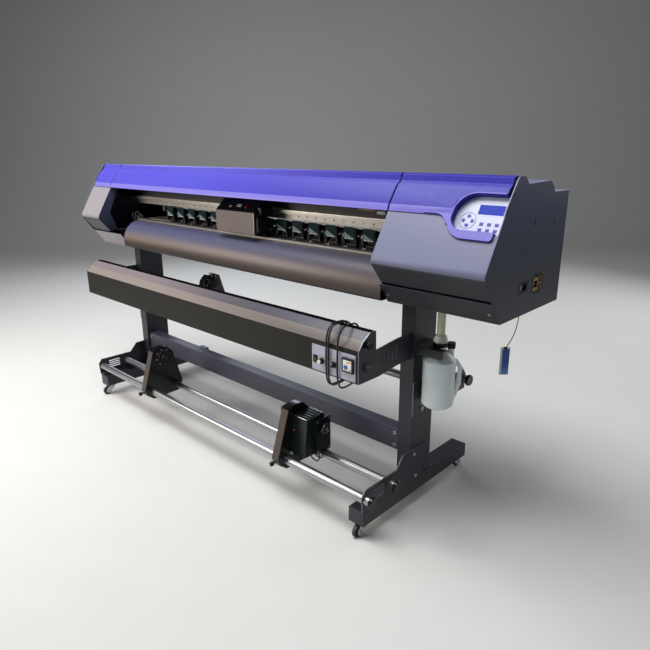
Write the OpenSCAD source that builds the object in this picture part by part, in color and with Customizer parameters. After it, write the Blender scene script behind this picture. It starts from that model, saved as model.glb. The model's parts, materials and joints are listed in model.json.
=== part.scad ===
// Wide roll-fed inkjet printer on a castered stand, with a dryer bar, a take-up and a feed.
// X runs along the machine, to the right as the user faces it. Y runs to the back. Z is up.
// The origin is on the floor, under the middle of the machine. Sizes are in millimetres.

/* [Body] */
// Length of the printer body
body_length = 2650; // [2630:2:2670]
// Floor to the underside of the body
body_bottom = 929; // [920:1:940]
// Width of the left end cover
left_end_w = 212; // [205:1:220]
// Width of the right cabinet
cabinet_w = 436; // [432:1:440]
// Thickness of the folded sheet covers
sheet = 2; // [1.5:0.5:3]
// Left side of the carriage, where it stands on its rail
carriage_x0 = -155; // [-1100:5:880]

/* [Stand] */
// Distance between the middles of the two legs
leg_spacing = 2056; // [2050:2:2060]
// How far the stand's middle lies from the body's middle
stand_shift = -145; // [-148:1:-142]
// Width of a leg, seen from the front
leg_w = 65; // [60:1:70]
// Depth of a leg, front to back
leg_d = 150; // [140:2:152]
// Length of a foot
foot_l = 760; // [750:2:780]
// Width of a foot
foot_w = 75; // [70:1:80]
// Height of a foot's box
foot_h = 63; // [60:1:66]
// Height of the cross beam
beam_h = 98; // [90:1:110]
// Floor to the underside of the cross beam
beam_z = 243; // [235:1:260]
// Diameter of a caster wheel
wheel_d = 50; // [46:1:50]
// How far a caster's wheel trails behind its swivel
caster_trail = 30; // [26:1:32]

/* [Rolls] */
// Diameter of the chromed rods
rod_d = 38; // [36:1:40]
// Height of the take-up rods
takeup_z = 180; // [175:1:190]
// Height of the feed rods
feed_z = 480; // [470:1:490]
// Left side of the idle take-up support
idle_x = -652; // [-1000:2:-300]
// Left side of the driven take-up support
drive_x = 435; // [100:5:600]
// Left side of the left feed support
feed_left_x = -880; // [-1050:10:-500]
// Left side of the right feed support
feed_right_x = 710; // [200:10:800]
// Diameter of the large step of a core chuck
core_d = 75.8; // [74:0.2:76]
// Diameter of the small step of a core chuck
small_core_d = 50.4; // [48:0.2:51]

/* [Dryer] */
// Length of the dryer housing
dryer_l = 2085; // [2080:1:2086]
// Floor to the underside of the dryer
dryer_z = 661; // [655:1:668]
// Diameter of the dryer's mains lead
lead_d = 7; // [6:0.5:7]
// Turns of the lead around the dryer
lead_turns = 2.75; // [1.75:1:2.75]

/* [Ink waste] */
// Diameter of the waste bottle
bottle_d = 128; // [120:1:130]
// Height of the waste bottle to its shoulder
bottle_h = 225; // [215:1:230]

/* [Hidden] */
$fn = 48;
wall = 3;
gap = 0.4;
run = 0.05;

// Along the machine
side_x = body_length / 2;
left_in = -side_x + left_end_w;
right_in = side_x - cabinet_w;
side_plate = 4;
left_bay_end = left_in + 118;
function leg_x(s) = stand_shift + s * leg_spacing / 2;
leg_out = leg_w / 2;

// Heights of the stand
foot_z = wheel_d + 14;
foot_top = foot_z + foot_h;
stem_y = foot_l / 2 - 40;
stem_r = 6;
axle_r = 4;

// Outline of the body's ends in (y, z), measured from the underside of the body
function up(p) = [p[0], p[1] + body_bottom];
strip_low = up([-204, 0]);
strip_top = up([-262, 77]);
face_low = up([-262, 85]);
crease = up([-332, 168]);
face_top = up([-234, 333]);
crease_r = 28;
lean = atan2(face_top[1] - crease[1], face_top[0] - crease[0]);
purple = [for (p = [[-236, 335], [-228, 359], [-186, 419], [-164, 435], [-157, 456], [-146, 461],
    [-112, 459], [-90, 444]]) up(p)];
deck = [for (p = [[-85, 435], [80, 439], [111, 415], [119, 401], [240, 400]]) up(p)];
back_y = 240;
cover_t = 4;

// The platen, the rollers and the carriage's rail
platen_z = body_bottom + 159;
base_top = body_bottom + 106;
base_front = -125;
base_back = 150;
roller_y = -100;
grit_r = 11;
pinch_r = 10;
pinch_n = 15;
pinch_pitch = 100;
pinch_x0 = -690;
pinch_w = 64;
pinch_axle_z = platen_z + pinch_r + 0.6;
lift_y = -70;
lift_z = body_bottom + 221;
rail_low = body_bottom + 243;
gantry_low = body_bottom + 283;
gantry_top = body_bottom + 371;
rail_x0 = -1290;
rail_x1 = 1195;
carriage_w = 280;
belt_z = body_bottom + 327;
belt_y = -97;
pulley_x = 1240;
pulley_r = 15;
lid_axis = up([-84, 433]);
knuckle_n = 4;
knuckle_l = 60;

// The dryer and its tilt
dryer_x0 = stand_shift - dryer_l / 2;
dryer_x1 = stand_shift + dryer_l / 2;
function dry(p) = [p[0], p[1] + dryer_z];
dryer_outline = [for (p = [[-305, 0], [-305, 183], [-335, 183], [-372, 159], [-398, 127], [-398, 0]]) dry(p)];
dryer_skin = 2.5;
tilt_axis = dry([-347, 51]);
lock_axis = dry([-353, 140]);
tilt_slot = [11.4, 47];
arm_t = 5;
panel_y = -398;
panel_t = 2.5;
dryer_knob_x = [dryer_x1 - 172, dryer_x1 - 111];
dryer_knob_z = dryer_z + 50;
rocker_x = dryer_x1 - 206;
controller_x = dryer_x1 - 40;
controller_z = dryer_z + 66;

// The dryer's mains lead: straight out of its gland, down behind the dryer and round it
gland_x = dryer_x1 - 149;
gland_z = dryer_z + 84;
gland_end = -277;
wind_mid = dry([-346, 75]);
wind_half = [62, 122];
wind_power = 0.56;
ring_turn = 24;
lead_in = [for (p = [[0, -277, 84], [0, -270, 84], [0, -258, 81], [0, -246, 71], [0, -241, 55], [0, -241, 29],
    [0, -243, 3], [0, -252, -21], [1, -272, -38], [2, -298, -46]]) [gland_x + p[0], p[1], dryer_z + p[2]]];
lead_tail = 20;
plug_l = 52;

// The earth lead: out of the underside of the cabinet, bending forward, then hanging behind its tag
earth_d = 4;
earth_route = [for (p = [[196, 0], [196, -14], [197, -44], [196, -79], [189, -111], [172, -141], [146, -165],
    [119, -180], [109, -190], [105, -206], [105, -226]]) [side_x - 120, p[0], body_bottom + p[1]]];
tag = [42, 1.2, 112];
tag_turn = 43;
tag_hang = 46;

// Waste bottle beside the right leg
bottle = [leg_x(1) + leg_out + 75, -8];
bottle_z = body_bottom - 449;
neck_r = 24;
bottle_top = bottle_z + bottle_h;
holder_z = bottle_top + 26;

// Shapes that repeat

// A prism along X; its outline is drawn in (y, z)
module along_x(x0, x1) {
    translate([x0, 0, 0]) rotate([90, 0, 90]) linear_extrude(x1 - x0) children();
}

module rod_x(p, r, x0, x1) {
    translate([x0, p[0], p[1]]) rotate([0, 90, 0]) cylinder(r = r, h = x1 - x0);
}

module rod_y(x, z, r, y0, y1) {
    translate([x, y0, z]) rotate([-90, 0, 0]) cylinder(r = r, h = y1 - y0);
}

module rod_z(p, r, z0, z1) {
    translate([p[0], p[1], z0]) cylinder(r = r, h = z1 - z0);
}

module slab(low, high) {
    translate(low) cube(high - low);
}

// Lies on the slanted front face: x along the machine, y up the slope from the crease, z out of it
module on_face() {
    translate([0, crease[0], crease[1]]) rotate([lean, 0, 0]) children();
}

function arc(c, r, a0, a1, n = 12) = [for (i = [0 : n]) let (a = a0 + (a1 - a0) * i / n)
    c + r * [cos(a), sin(a)]];

// The corner q of the line p, q, s, rounded to radius r
function bend(p, q, s, r) = let (u = (q - p) / norm(q - p), v = (s - q) / norm(s - q),
    turn = sign(cross(u, v)),
    half = acos(u * v) / 2, a = atan2(u[1], u[0]) - turn * 90)
    arc(q - r * tan(half) * u + turn * r * [-u[1], u[0]], r, a, a + turn * 2 * half, 6);

function left_of(p, q) = let (d = (q - p) / norm(q - p)) [-d[1], d[0]];

// An open line moved sideways by t, to its left
function beside(pts, t) = let (n = len(pts)) [for (i = [0 : n - 1])
    let (u = left_of(pts[max(i - 1, 0)], pts[max(i, 1)]),
         v = left_of(pts[min(i, n - 2)], pts[min(i + 1, n - 1)]))
    pts[i] + t * (u + v) / (1 + u * v)];

// A folded sheet: the line and the same line t to its left
function folded(pts, t) = let (b = beside(pts, t)) concat(pts, [for (i = [len(b) - 1 : -1 : 0]) b[i]]);

// A closed outline with every edge moved in by t; the points run anticlockwise
function inset(pts, t) = let (n = len(pts)) [for (i = [0 : n - 1])
    let (u = left_of(pts[(i + n - 1) % n], pts[i]), v = left_of(pts[i], pts[(i + 1) % n]))
    pts[i] + t * (u + v) / (1 + u * v)];

// A round tube swept along points, each ring square to the way there
function along(p, i) = let (d = p[min(i + 1, len(p) - 1)] - p[max(i - 1, 0)]) d / norm(d);
function across(d) = let (c = abs(d[0]) < 0.9 ? cross([1, 0, 0], d) : cross([0, 1, 0], d)) c / norm(c);
module swept(p, d, sides) {
    n = len(p);
    points = [for (i = [0 : n - 1]) let (t = along(p, i), u = across(t), v = cross(t, u))
        for (k = [0 : sides - 1]) let (a = 360 * k / sides) p[i] + d / 2 * (u * cos(a) + v * sin(a))];
    sides_a = [for (i = [0 : n - 2], k = [0 : sides - 1]) let (j = (k + 1) % sides)
        [i * sides + k, i * sides + j, (i + 1) * sides + j]];
    sides_b = [for (i = [0 : n - 2], k = [0 : sides - 1]) let (j = (k + 1) % sides)
        [i * sides + k, (i + 1) * sides + j, (i + 1) * sides + k]];
    start = [for (k = [1 : sides - 2]) [0, k + 1, k]];
    finish = [for (k = [1 : sides - 2]) [(n - 1) * sides, (n - 1) * sides + k, (n - 1) * sides + k + 1]];
    polyhedron([for (q = points) q], [for (f = concat(sides_a, sides_b, start, finish)) [f[0], f[2], f[1]]]);
}

// Stand

module legs() color("#3b3d49") for (s = [-1, 1]) translate([leg_x(s), 0, 0]) difference() {
    slab([-leg_out, -leg_d / 2, foot_top], [leg_out, leg_d / 2, body_bottom]);
    slab([-leg_out + wall, -leg_d / 2 + wall, foot_top - 1],
        [leg_out - wall, leg_d / 2 - wall, body_bottom + 1]);
}

module feet() color("#33353f") for (s = [-1, 1]) translate([leg_x(s), 0, 0]) difference() {
    union() {
        difference() {
            slab([-foot_w / 2, -foot_l / 2, foot_z], [foot_w / 2, foot_l / 2, foot_top]);
            slab([-foot_w / 2 + wall, -foot_l / 2 + wall, foot_z + wall],
                [foot_w / 2 - wall, foot_l / 2 - wall, foot_top - wall]);
        }
        for (y = [-stem_y, stem_y]) rod_z([0, y], 14, foot_z + wall, foot_z + 45);
    }
    for (y = [-stem_y, stem_y]) rod_z([0, y], stem_r + run, foot_z - 1, foot_z + 46);
}

module cross_beam() color("#3f4150") difference() {
    slab([leg_x(-1) + leg_out, -62, beam_z], [leg_x(1) - leg_out, -2, beam_z + beam_h]);
    slab([leg_x(-1), -62 + wall, beam_z + wall], [leg_x(1), -2 - wall, beam_z + beam_h - wall]);
}

// One caster stands at s along the machine and t across it, with its wheel trailing outwards
module at_caster(s, t) {
    translate([leg_x(s), t * stem_y, 0]) children();
}

module caster_fork(s, t) color("#c9ccd0") at_caster(s, t) {
    trail = t * caster_trail;
    rod_z([0, 0], stem_r, foot_z - 4, foot_z + 44);
    rod_z([0, 0], 22, foot_z - 8, foot_z - gap);
    for (side = [-1, 1]) along_x(side * 12.5 - 1.5, side * 12.5 + 1.5)
        polygon([[-19 * t, foot_z - 8], [trail - 8 * t, wheel_d / 2 - 4], [trail, wheel_d / 2 - 9],
            [trail + 8 * t, wheel_d / 2], [19 * t, foot_z - 8]]);
    rod_x([trail, wheel_d / 2], axle_r, -17, 17);
}

module caster_wheel(s, t) color("#2b2c30") at_caster(s, t)
    translate([0, t * caster_trail, wheel_d / 2]) rotate([0, 90, 0]) rotate_extrude()
        polygon([[axle_r + run, -9.5], [11, -9.5], [12, -7], [wheel_d / 2 - 5, -7], [wheel_d / 2 - 3, -9],
            [wheel_d / 2, -6], [wheel_d / 2, 6], [wheel_d / 2 - 3, 9], [wheel_d / 2 - 5, 7], [12, 7],
            [11, 9.5], [axle_r + run, 9.5]]);

// Rolls: the take-up lies in front and the feed behind, drawn outwards from the machine's middle

rod_r = rod_d / 2;
rod_out = [365, 210];
feed_in = 55;
rod_x0 = leg_x(-1) - leg_out;
rod_x1 = leg_x(1) + leg_out;
bracket_t = 5;
rod_stub = 29;
rod_cap = 9;
function bracket_bolts(side) = [[side > 0 ? 100 : 56, 71], [41, -35]];
bracket_outline = [[-20, foot_top - takeup_z], [385, -51], [389, 18], [369, 43], [172, 43], [127, 92],
    [79, 95], [-20, 95]];
support_outline = [[177, -30], [210, -39], [366, -44], [407, -13], [416, 14], [348, 226], [306, 244],
    [262, 239], [226, 206], [177, 26]];
support_t = 40;
chuck_at = [290, 188];
chuck_shaft = 12;
lock_r = 4;

// side is -1 for the take-up and 1 for the feed, whose rods lie feed_in nearer to the legs
module roll_side(side, z) {
    translate([0, side > 0 ? -feed_in : 0, z]) mirror([0, side < 0 ? 1 : 0, 0]) children();
}

module rod_brackets() color("#2a2c34") for (side = [[-1, takeup_z], [1, feed_z]])
    roll_side(side[0], side[1]) for (x = [rod_x0 - bracket_t, rod_x1]) difference() {
        along_x(x, x + bracket_t) polygon(bracket_outline);
        for (b = bracket_bolts(side[0])) rod_x(b, 5 + run, x - 1, x + bracket_t + 1);
        for (u = rod_out) rod_x([u, 0], rod_r + run, x - 1, x + bracket_t + 1);
        for (k = [0 : 3]) along_x(x - 1, x + bracket_t + 1)
            translate([(rod_out[0] + rod_out[1]) / 2, 13 * k - 20]) square([72, 6], center = true);
    }

// The rods pass through their brackets, and on the right they stick out a little, to their caps
module roll_rods() color("#dfe2e6") for (side = [[-1, takeup_z], [1, feed_z]], u = rod_out)
    roll_side(side[0], side[1]) difference() {
        end = rod_x1 + bracket_t + rod_stub;
        rod_x([u, 0], rod_r, rod_x0 - bracket_t, end);
        rod_x([u, 0], rod_r - wall, rod_x0 - bracket_t - 1, end + 1);
    }

module socket_screw(r, h) difference() {
    cylinder(r = r, h = h);
    translate([0, 0, h * 0.4]) cylinder(r = r * 0.5, h = h, $fn = 6);
}

module stand_bolts() color("#b9bcc2") {
    for (side = [[-1, takeup_z], [1, feed_z]], s = [-1, 1]) roll_side(side[0], side[1]) {
        face = s < 0 ? rod_x0 - bracket_t : rod_x1 + bracket_t;
        for (b = bracket_bolts(side[0])) translate([face, b[0], b[1]]) rotate([0, s * 90, 0]) {
            socket_screw(8.5, 6);
            translate([0, 0, -bracket_t]) cylinder(r = 5, h = bracket_t);
        }
        for (u = rod_out) {
            if (s > 0) rod_x([u, 0], rod_r + 1, face + rod_stub, face + rod_stub + rod_cap);
            rod_z([face - s * bracket_t / 2, u], 2.2, 43, 52);
        }
    }
    for (x = [right_in + 10, side_x - 24]) on_strip(x, 50) socket_screw(6, 3);
}

// On the lower front strip, d down its slope from the top
module on_strip(x, d) {
    run_down = (strip_low - strip_top) / norm(strip_low - strip_top);
    at = strip_top + d * run_down;
    translate([x, at[0], at[1]]) rotate([atan2(-run_down[1], -run_down[0]), 0, 0]) children();
}

module roll_support(x) difference() {
    along_x(x, x + support_t) polygon(support_outline);
    for (u = rod_out) rod_x([u, 0], rod_r + run, x - 1, x + support_t + 1);
    rod_x(chuck_at, chuck_shaft + run, x - 1, x + support_t + 1);
}

// A screw that bears on the outer rod, with its hand wheel outside
module lock_screw(x) {
    rod_y(x, 0, lock_r, rod_out[0] + rod_r + 1, 420);
    rod_y(x, 0, 11, 419, 442);
}

module lock_hole(x) rod_y(x, 0, lock_r + run, rod_out[0], 430);

module takeup_idle_support() color("#17181b") roll_side(-1, takeup_z) difference() {
    roll_support(idle_x);
    lock_hole(idle_x + support_t / 2);
}

module takeup_idle_lock() color("#1e1e20") roll_side(-1, takeup_z) lock_screw(idle_x + support_t / 2);

module takeup_drive_lock() color("#1e1e20") roll_side(-1, takeup_z) lock_screw(drive_x + support_t / 2);

module takeup_drive_support() color("#17181b") roll_side(-1, takeup_z) {
    gear_x = drive_x + support_t;
    difference() {
        roll_support(drive_x);
        lock_hole(drive_x + support_t / 2);
    }
    along_x(gear_x, gear_x + 83) polygon([[190, 20], [335, 24], [318, 196], [222, 200], [190, 150]]);
    along_x(gear_x + 83, gear_x + 95) polygon([[187, 22], [275, 22], [275, 182], [187, 182]]);
    rod_x([225, 130], 24, gear_x + 95, gear_x + 107);
    for (k = [0 : 4]) along_x(gear_x + 6, gear_x + 77) translate([228 + 19 * k, 198]) square([7, 6]);
}

module feed_support(x) color("#17181b") roll_side(1, feed_z) {
    roll_support(x);
    rod_y(x + support_t / 2, 0, 5, 410, 426 + feed_in);
    rod_y(x + support_t / 2, 0, 11, 425 + feed_in, 442 + feed_in);
}

// A stepped chuck that centres two sizes of core; it points along dir
module chuck(side, z, x, dir) color("#26272b") roll_side(side, z) {
    face = dir > 0 ? x + support_t + gap : x - gap;
    step = [[0, 6, 48], [6, 26, core_d / 2], [26, 44, small_core_d / 2], [44, 58, 14]];
    for (s = step) translate([face + (dir > 0 ? s[0] : -s[1]), 0, 0]) rod_x(chuck_at, s[2], 0, s[1] - s[0]);
    rod_x(chuck_at, chuck_shaft, x + 1, x + support_t - 1);
    rod_x(chuck_at, chuck_shaft, min(face, x + support_t - 1), max(face, x + 1));
}

// Body

module base_frame() color("#4a4c57") {
    difference() {
        slab([-side_x + side_plate, base_front, body_bottom], [side_x - 50, base_back, base_top]);
        slab([-side_x, base_front + wall, body_bottom + wall], [side_x, base_back - wall, base_top - wall]);
    }
    for (x = [[-side_x + side_plate, left_bay_end], [right_in - 13, side_x - side_plate]]) along_x(x[0], x[1])
        polygon(folded([strip_top, strip_low, [base_front, body_bottom]], sheet));
    for (x = [[-side_x + side_plate, left_in - sheet], [right_in + sheet, side_x - side_plate]])
        slab([x[0], base_back, body_bottom], [x[1], back_y - sheet, body_bottom + sheet]);
    difference() {
        slab([right_in + 11, -215, base_top - 5], [right_in + 311, base_front, base_top]);
        for (x = cap_pins) rod_z([x, -170], 4 + run, base_top - 6, base_top + 1);
    }
}

// The platen carries the sheet on each side of the grit roller
module platen() color("#c4c5c8") difference() {
    union() {
        for (y = [[-150, -114], [-86, 110]])
            slab([left_bay_end, y[0], platen_z - 8], [right_in - 3, y[1], platen_z]);
        for (y = [-122, -86, 100]) slab([left_bay_end, y, base_top], [right_in - 3, y + 4, platen_z - 8]);
        for (x = [left_bay_end, right_in - 13]) slab([x, -122, base_top], [x + 10, 104, platen_z]);
    }
    rod_x([roller_y, platen_z - grit_r + 0.3], 8 + run, left_bay_end - 1, right_in);
}

function sheet_guide(c, r, a0, a1, foot) = concat(arc(c, r, a0, a1), foot);

module aprons() color("#8d8d99") {
    front = sheet_guide([-135, body_bottom + 41], 111, 100, 180,
        [[-246, body_bottom + 17], [-238, body_bottom + 8], [base_front, body_bottom + 8]]);
    rear = sheet_guide([125, body_bottom + 47], 105, 84, 0,
        [[230, body_bottom + 17], [222, body_bottom + 8], [base_back, body_bottom + 8]]);
    along_x(left_bay_end, right_in - 16) polygon(folded(front, sheet));
    along_x(left_bay_end, right_in - 16) polygon(folded(rear, -sheet));
}

// The hinge rod of the lid runs along the front edge of the rear cover
module rear_cover() color("#3a3c46") {
    front_edge = deck[0] + [19, 0];
    line = concat([[front_edge[0], front_edge[1] - 24], front_edge + [0, 5]], [for (i = [1 : 4]) deck[i]],
        [[back_y, body_bottom + 201], [back_y - 18, body_bottom + 201]]);
    along_x(left_in, right_in) polygon(folded(line, -sheet));
    rod_x(lid_axis, 4, left_in + 12, right_in - 12);
    for (x = hinge_arm_x) along_x(x - 4, x + 4)
        polygon([lid_axis + [0, 3], [front_edge[0], lid_axis[1] + 3], [front_edge[0], lid_axis[1] - 12],
            lid_axis + [0, -3]]);
}

lid_x0 = left_in + 3;
lid_x1 = right_in - 3;
knuckle_x = [for (i = [0 : knuckle_n - 1]) lid_x0 + 180 + i * (lid_x1 - lid_x0 - 360) / (knuckle_n - 1)];
hinge_arm_x = [for (x = knuckle_x, s = [-1, 1]) x + s * (knuckle_l / 2 + 20)];

module top_lid() color("#5a50e0") {
    along_x(lid_x0, lid_x1) polygon(folded(purple, -cover_t));
    for (x = knuckle_x) difference() {
        union() {
            rod_x(lid_axis, 8, x - knuckle_l / 2, x + knuckle_l / 2);
            along_x(x - knuckle_l / 2, x + knuckle_l / 2)
                polygon([lid_axis + [-8, 0], lid_axis + [0, 6], purple[7] + [-1, -2], purple[7] + [-6, 0]]);
        }
        rod_x(lid_axis, 4 + run, x - knuckle_l / 2 - 1, x + knuckle_l / 2 + 1);
    }
}

// Outline of an end: the side plates fill it, and the folded shells follow it
shell_line = concat([face_low], bend(face_low, crease, face_top, crease_r), [face_top, face_top + [12, 0],
    up([-157, 419]), up([-148, 449]), up([-112, 448])], deck, [[back_y, body_bottom]]);
side_outline = concat([strip_low], bend(strip_low, crease, purple[0], crease_r), [purple[0],
    purple[1] + [1, 0], purple[2], purple[4], purple[5], purple[6]], deck, [[back_y, body_bottom]]);
bay_opening = [for (p = [[-190, 329], [-254, 194], [-217, 95], [-130, 95], [-130, -5], [160, -5], [160, 381],
    [-150, 381]]) up(p)];

// Shell of one end between its side plate and the inner wall, which the carriage passes through
module end_shell(x0, x1, inner0, plate0) {
    along_x(x0, x1) polygon(folded(shell_line, -sheet));
    along_x(plate0, plate0 + side_plate) polygon(side_outline);
    along_x(inner0, inner0 + sheet) difference() {
        polygon(concat([up([-236, 92])], beside(shell_line, -sheet)));
        polygon(bay_opening);
    }
}

module left_end_cover() color("#53555f")
    end_shell(-side_x + side_plate, left_in, left_in - sheet, -side_x);

side_cut = [[-60, 97, 76, 42], [50, 94, 92, 72]];

module right_cabinet() color("#53555f") difference() {
    end_shell(right_in, side_x - side_plate, right_in, side_x - side_plate);
    on_face() translate([0, 0, -40]) linear_extrude(60) polygon(bay(bay_rim + 0.4));
    for (c = side_cut) along_x(side_x - side_plate - 1, side_x + 1)
        translate([c[0], body_bottom + c[1]]) square([c[2], c[3]], center = true);
    for (p = [[-15, 309], [140, 294]]) along_x(side_x - side_plate - 1, side_x + 1)
        translate([p[0], body_bottom + p[1]]) square([8, 26], center = true);
}

// The control panel's bay on the slanted face, in (x, up the slope), left end round
bay_x0 = side_x - 178;
bay_x1 = side_x - side_plate;
bay_low = 148;
bay_high = 274;
bay_deep = 20;
bay_rim = 5;
function bay(e) = concat([[bay_x1, bay_low - e], [bay_x1, bay_high + e]],
    arc([bay_x0 + 70, bay_high - 70], 70 + e, 90, 165, 8),
    arc([bay_x0 + 46, bay_low + 46], 46 + e, 185, 270, 8));

// The covers end short of the side plates, each with a wall behind its end
cover_x1 = side_x - side_plate - 12;
skirt_t = 8;
function bay_skirt() = concat(arc([cover_x1 - 12, 130], 12, 270, 360, 4),
    [[cover_x1, 200], [right_in + 150, 200], [right_in + 150, 196]],
    arc([bay_x0 - 60, 150], 46, 90, 20, 6), arc([bay_x0 + 62, 194], 76, 205, 270, 8));

module end_cover(x0, x1, end_x) {
    along_x(x0, x1) polygon(folded(purple, -cover_t));
    along_x(end_x, end_x + cover_t) polygon(folded(purple, -cover_t - 2));
}

module end_top_covers() color("#5a50e0") {
    end_cover(-cover_x1, left_in, -cover_x1);
    difference() {
        union() {
            end_cover(right_in + 3, cover_x1, cover_x1 - cover_t);
            on_face() linear_extrude(skirt_t) polygon(bay_skirt());
            on_face() translate([0, 0, -bay_deep]) linear_extrude(bay_deep + skirt_t) intersection() {
                polygon(bay(bay_rim));
                translate([bay_x0 - 100, 0]) square([cover_x1 - bay_x0 + 100, 400]);
            }
        }
        on_face() translate([0, 0, -40]) linear_extrude(80) polygon(bay(0));
    }
}

lcd = [side_x - 56, 226];
key_pad = [side_x - 130, 190];
keys = concat([for (a = [0 : 90 : 270]) key_pad + 16 * [cos(a), sin(a)]],
    [for (i = [-1 : 1], j = [182, 162]) [side_x - 54 + 26 * i, j]]);

module control_panel() color("#e4e5ec") on_face() translate([0, 0, -bay_deep]) difference() {
    union() {
        linear_extrude(4) polygon(bay(-0.5));
        for (k = keys) translate([k[0], k[1], 4]) cylinder(r = 5, h = 1.2);
    }
    translate([lcd[0], lcd[1], 4]) cube([85, 31, 3], center = true);
}

// Carriage, rollers and drives

module gantry_beam() color("#222327") difference() {
    union() {
        slab([-side_x + side_plate, -62, gantry_low], [side_x - side_plate, 20, gantry_top]);
        slab([-pulley_x - 22, -118, gantry_low + 28], [-pulley_x + 22, -62, gantry_low + 34]);
        rod_z([-pulley_x, belt_y], pulley_r + 0.3, gantry_low + 34, belt_z + 12);
        slab([pulley_x - 32, -130, gantry_low + 28], [pulley_x + 32, -62, gantry_low + 34]);
    }
    slab([-side_x, -62 + wall, gantry_low + wall], [side_x, 20 - wall, gantry_top - wall]);
    rod_z([pulley_x, belt_y], 8, gantry_low + 20, gantry_low + 40);
}

// One extrusion: a flange under the gantry, a web, and the lip that the carriage rides on
module guide_rail() color("#cfcfcb") {
    along_x(rail_x0, rail_x1) polygon([[-92, rail_low], [-84, rail_low], [-84, gantry_low - 6],
        [-20, gantry_low - 6], [-20, gantry_low], [-92, gantry_low], [-92, rail_low + 34],
        [-100, rail_low + 34], [-100, rail_low + 24], [-92, rail_low + 24]]);
    for (x = [pinch_x0 - 120, pinch_x0 + pinch_pitch * pinch_n + 20]) difference() {
        slab([x - 4, -84, lift_z - 12], [x + 4, -52, gantry_low - 6]);
        rod_x([lift_y, lift_z], 5 + run, x - 5, x + 5);
    }
}

module carriage() color("#2a2b2e") along_x(carriage_x0, carriage_x0 + carriage_w)
    polygon([for (p = [[-203, 171], [-122, 171], [-122, 251], [-92 - gap, 251], [-92 - gap, 267 - gap],
        [-100 - gap, 267 - gap], [-100 - gap, 277 + gap], [-92 - gap, 277 + gap], [-92 - gap, 317],
        [-150, 321], [-203, 271]]) up(p)]);

module drive_motors() color("#303136") {
    rod_z([pulley_x, belt_y], 28, gantry_low - 44, gantry_low + 28);
    rod_z([pulley_x, belt_y], 4, gantry_low + 28, belt_z + 14);
    roller_end = right_in + 120;
    motor_x = roller_end + 4;
    rod_x([roller_y, platen_z - grit_r + 0.3], 28, motor_x, motor_x + 80);
    rod_x([roller_y, platen_z - grit_r + 0.3], 5, motor_x - 24, motor_x);
    slab([motor_x + 10, roller_y - 20, base_top], [motor_x + 70, roller_y + 20, platen_z - grit_r]);
}

module belt_loop(r, w) {
    for (x = [-pulley_x, pulley_x]) rod_z([x, belt_y], r, belt_z - w / 2, belt_z + w / 2);
    slab([-pulley_x, belt_y - r, belt_z - w / 2], [pulley_x, belt_y + r, belt_z + w / 2]);
}

module drive_belt() color("#1b1b1c") difference() {
    belt_loop(pulley_r + 1.8, 10);
    belt_loop(pulley_r + 0.3, 12);
}

module motor_pulley() color("#a9abb0") difference() {
    union() {
        rod_z([pulley_x, belt_y], pulley_r, belt_z - 8, belt_z + 8);
        rod_z([pulley_x, belt_y], pulley_r + 3, belt_z - 10, belt_z - 6);
        rod_z([pulley_x, belt_y], pulley_r + 3, belt_z + 6, belt_z + 10);
    }
    rod_z([pulley_x, belt_y], 4 + run, belt_z - 11, belt_z + 15);
}

function pinch_x(i) = pinch_x0 + i * pinch_pitch;
roller_end = right_in + 120;

module grit_roller() color("#9a9ca1") difference() {
    union() {
        rod_x([roller_y, platen_z - grit_r + 0.3], 8, left_bay_end - 20, roller_end);
        for (i = [0 : pinch_n - 1]) rod_x([roller_y, platen_z - grit_r + 0.3], grit_r,
            pinch_x(i) - 26, pinch_x(i) + 26);
    }
    rod_x([roller_y, platen_z - grit_r + 0.3], 5 + run, roller_end - 22, roller_end + 1);
}

// Each arm is a fork on the lift shaft, with a pin through its two cheeks for the roller
module pinch_arms() color("#232428") {
    rod_x([lift_y, lift_z], 5, pinch_x0 - 126, pinch_x0 + pinch_pitch * pinch_n + 26);
    for (i = [0 : pinch_n - 1]) translate([pinch_x(i), 0, 0]) {
        along_x(-pinch_w / 2, pinch_w / 2) polygon([[-116, lift_z - 26], [-108, lift_z - 26],
            [-102, lift_z - 12], [-60, lift_z - 14], [-58, lift_z + 8], [-98, lift_z + 12],
            [-107, lift_z + 20], [-116, lift_z + 20]]);
        for (s = [-1, 1]) along_x(s * (pinch_w / 2 - 2) - 2, s * (pinch_w / 2 - 2) + 2)
            polygon([[-116, lift_z - 26], [-112, pinch_axle_z - 6], [-94, pinch_axle_z - 6],
                [-80, lift_z - 13], [-102, lift_z - 18]]);
        rod_x([roller_y, pinch_axle_z], 3, -pinch_w / 2, pinch_w / 2);
    }
}

module pinch_rollers() color("#d8d8d4") for (i = [0 : pinch_n - 1]) difference() {
    rod_x([roller_y, pinch_axle_z], pinch_r, pinch_x(i) - 25, pinch_x(i) + 25);
    rod_x([roller_y, pinch_axle_z], 3 + run, pinch_x(i) - 26, pinch_x(i) + 26);
}

cap_pins = [right_in + 71, right_in + 231];

module capping_station() color("#5b5d64") {
    difference() {
        slab([right_in + 41, -205, base_top + 1], [right_in + 261, -136, base_top + 46]);
        for (i = [0 : 3]) translate([right_in + 71 + 53 * i, -170, base_top + 42])
            cube([36, 46, 10], center = true);
    }
    for (x = cap_pins) rod_z([x, -170], 4, base_top - 20, base_top + 2);
}

// Mains inlet and switch: two plates that fill their cut-outs from behind

switch_at = [-60, body_bottom + 97];
inlet_at = [50, body_bottom + 94];
switch_pivot = side_x - 8.5;
switch_tilt = 6;

module plate_in(at, size, depth) {
    along_x(side_x - 0.5 - depth, side_x - 0.5) translate(at) square(size, center = true);
    along_x(side_x - side_plate - 3, side_x - side_plate) translate(at) square(size + [10, 8], center = true);
}

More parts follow.
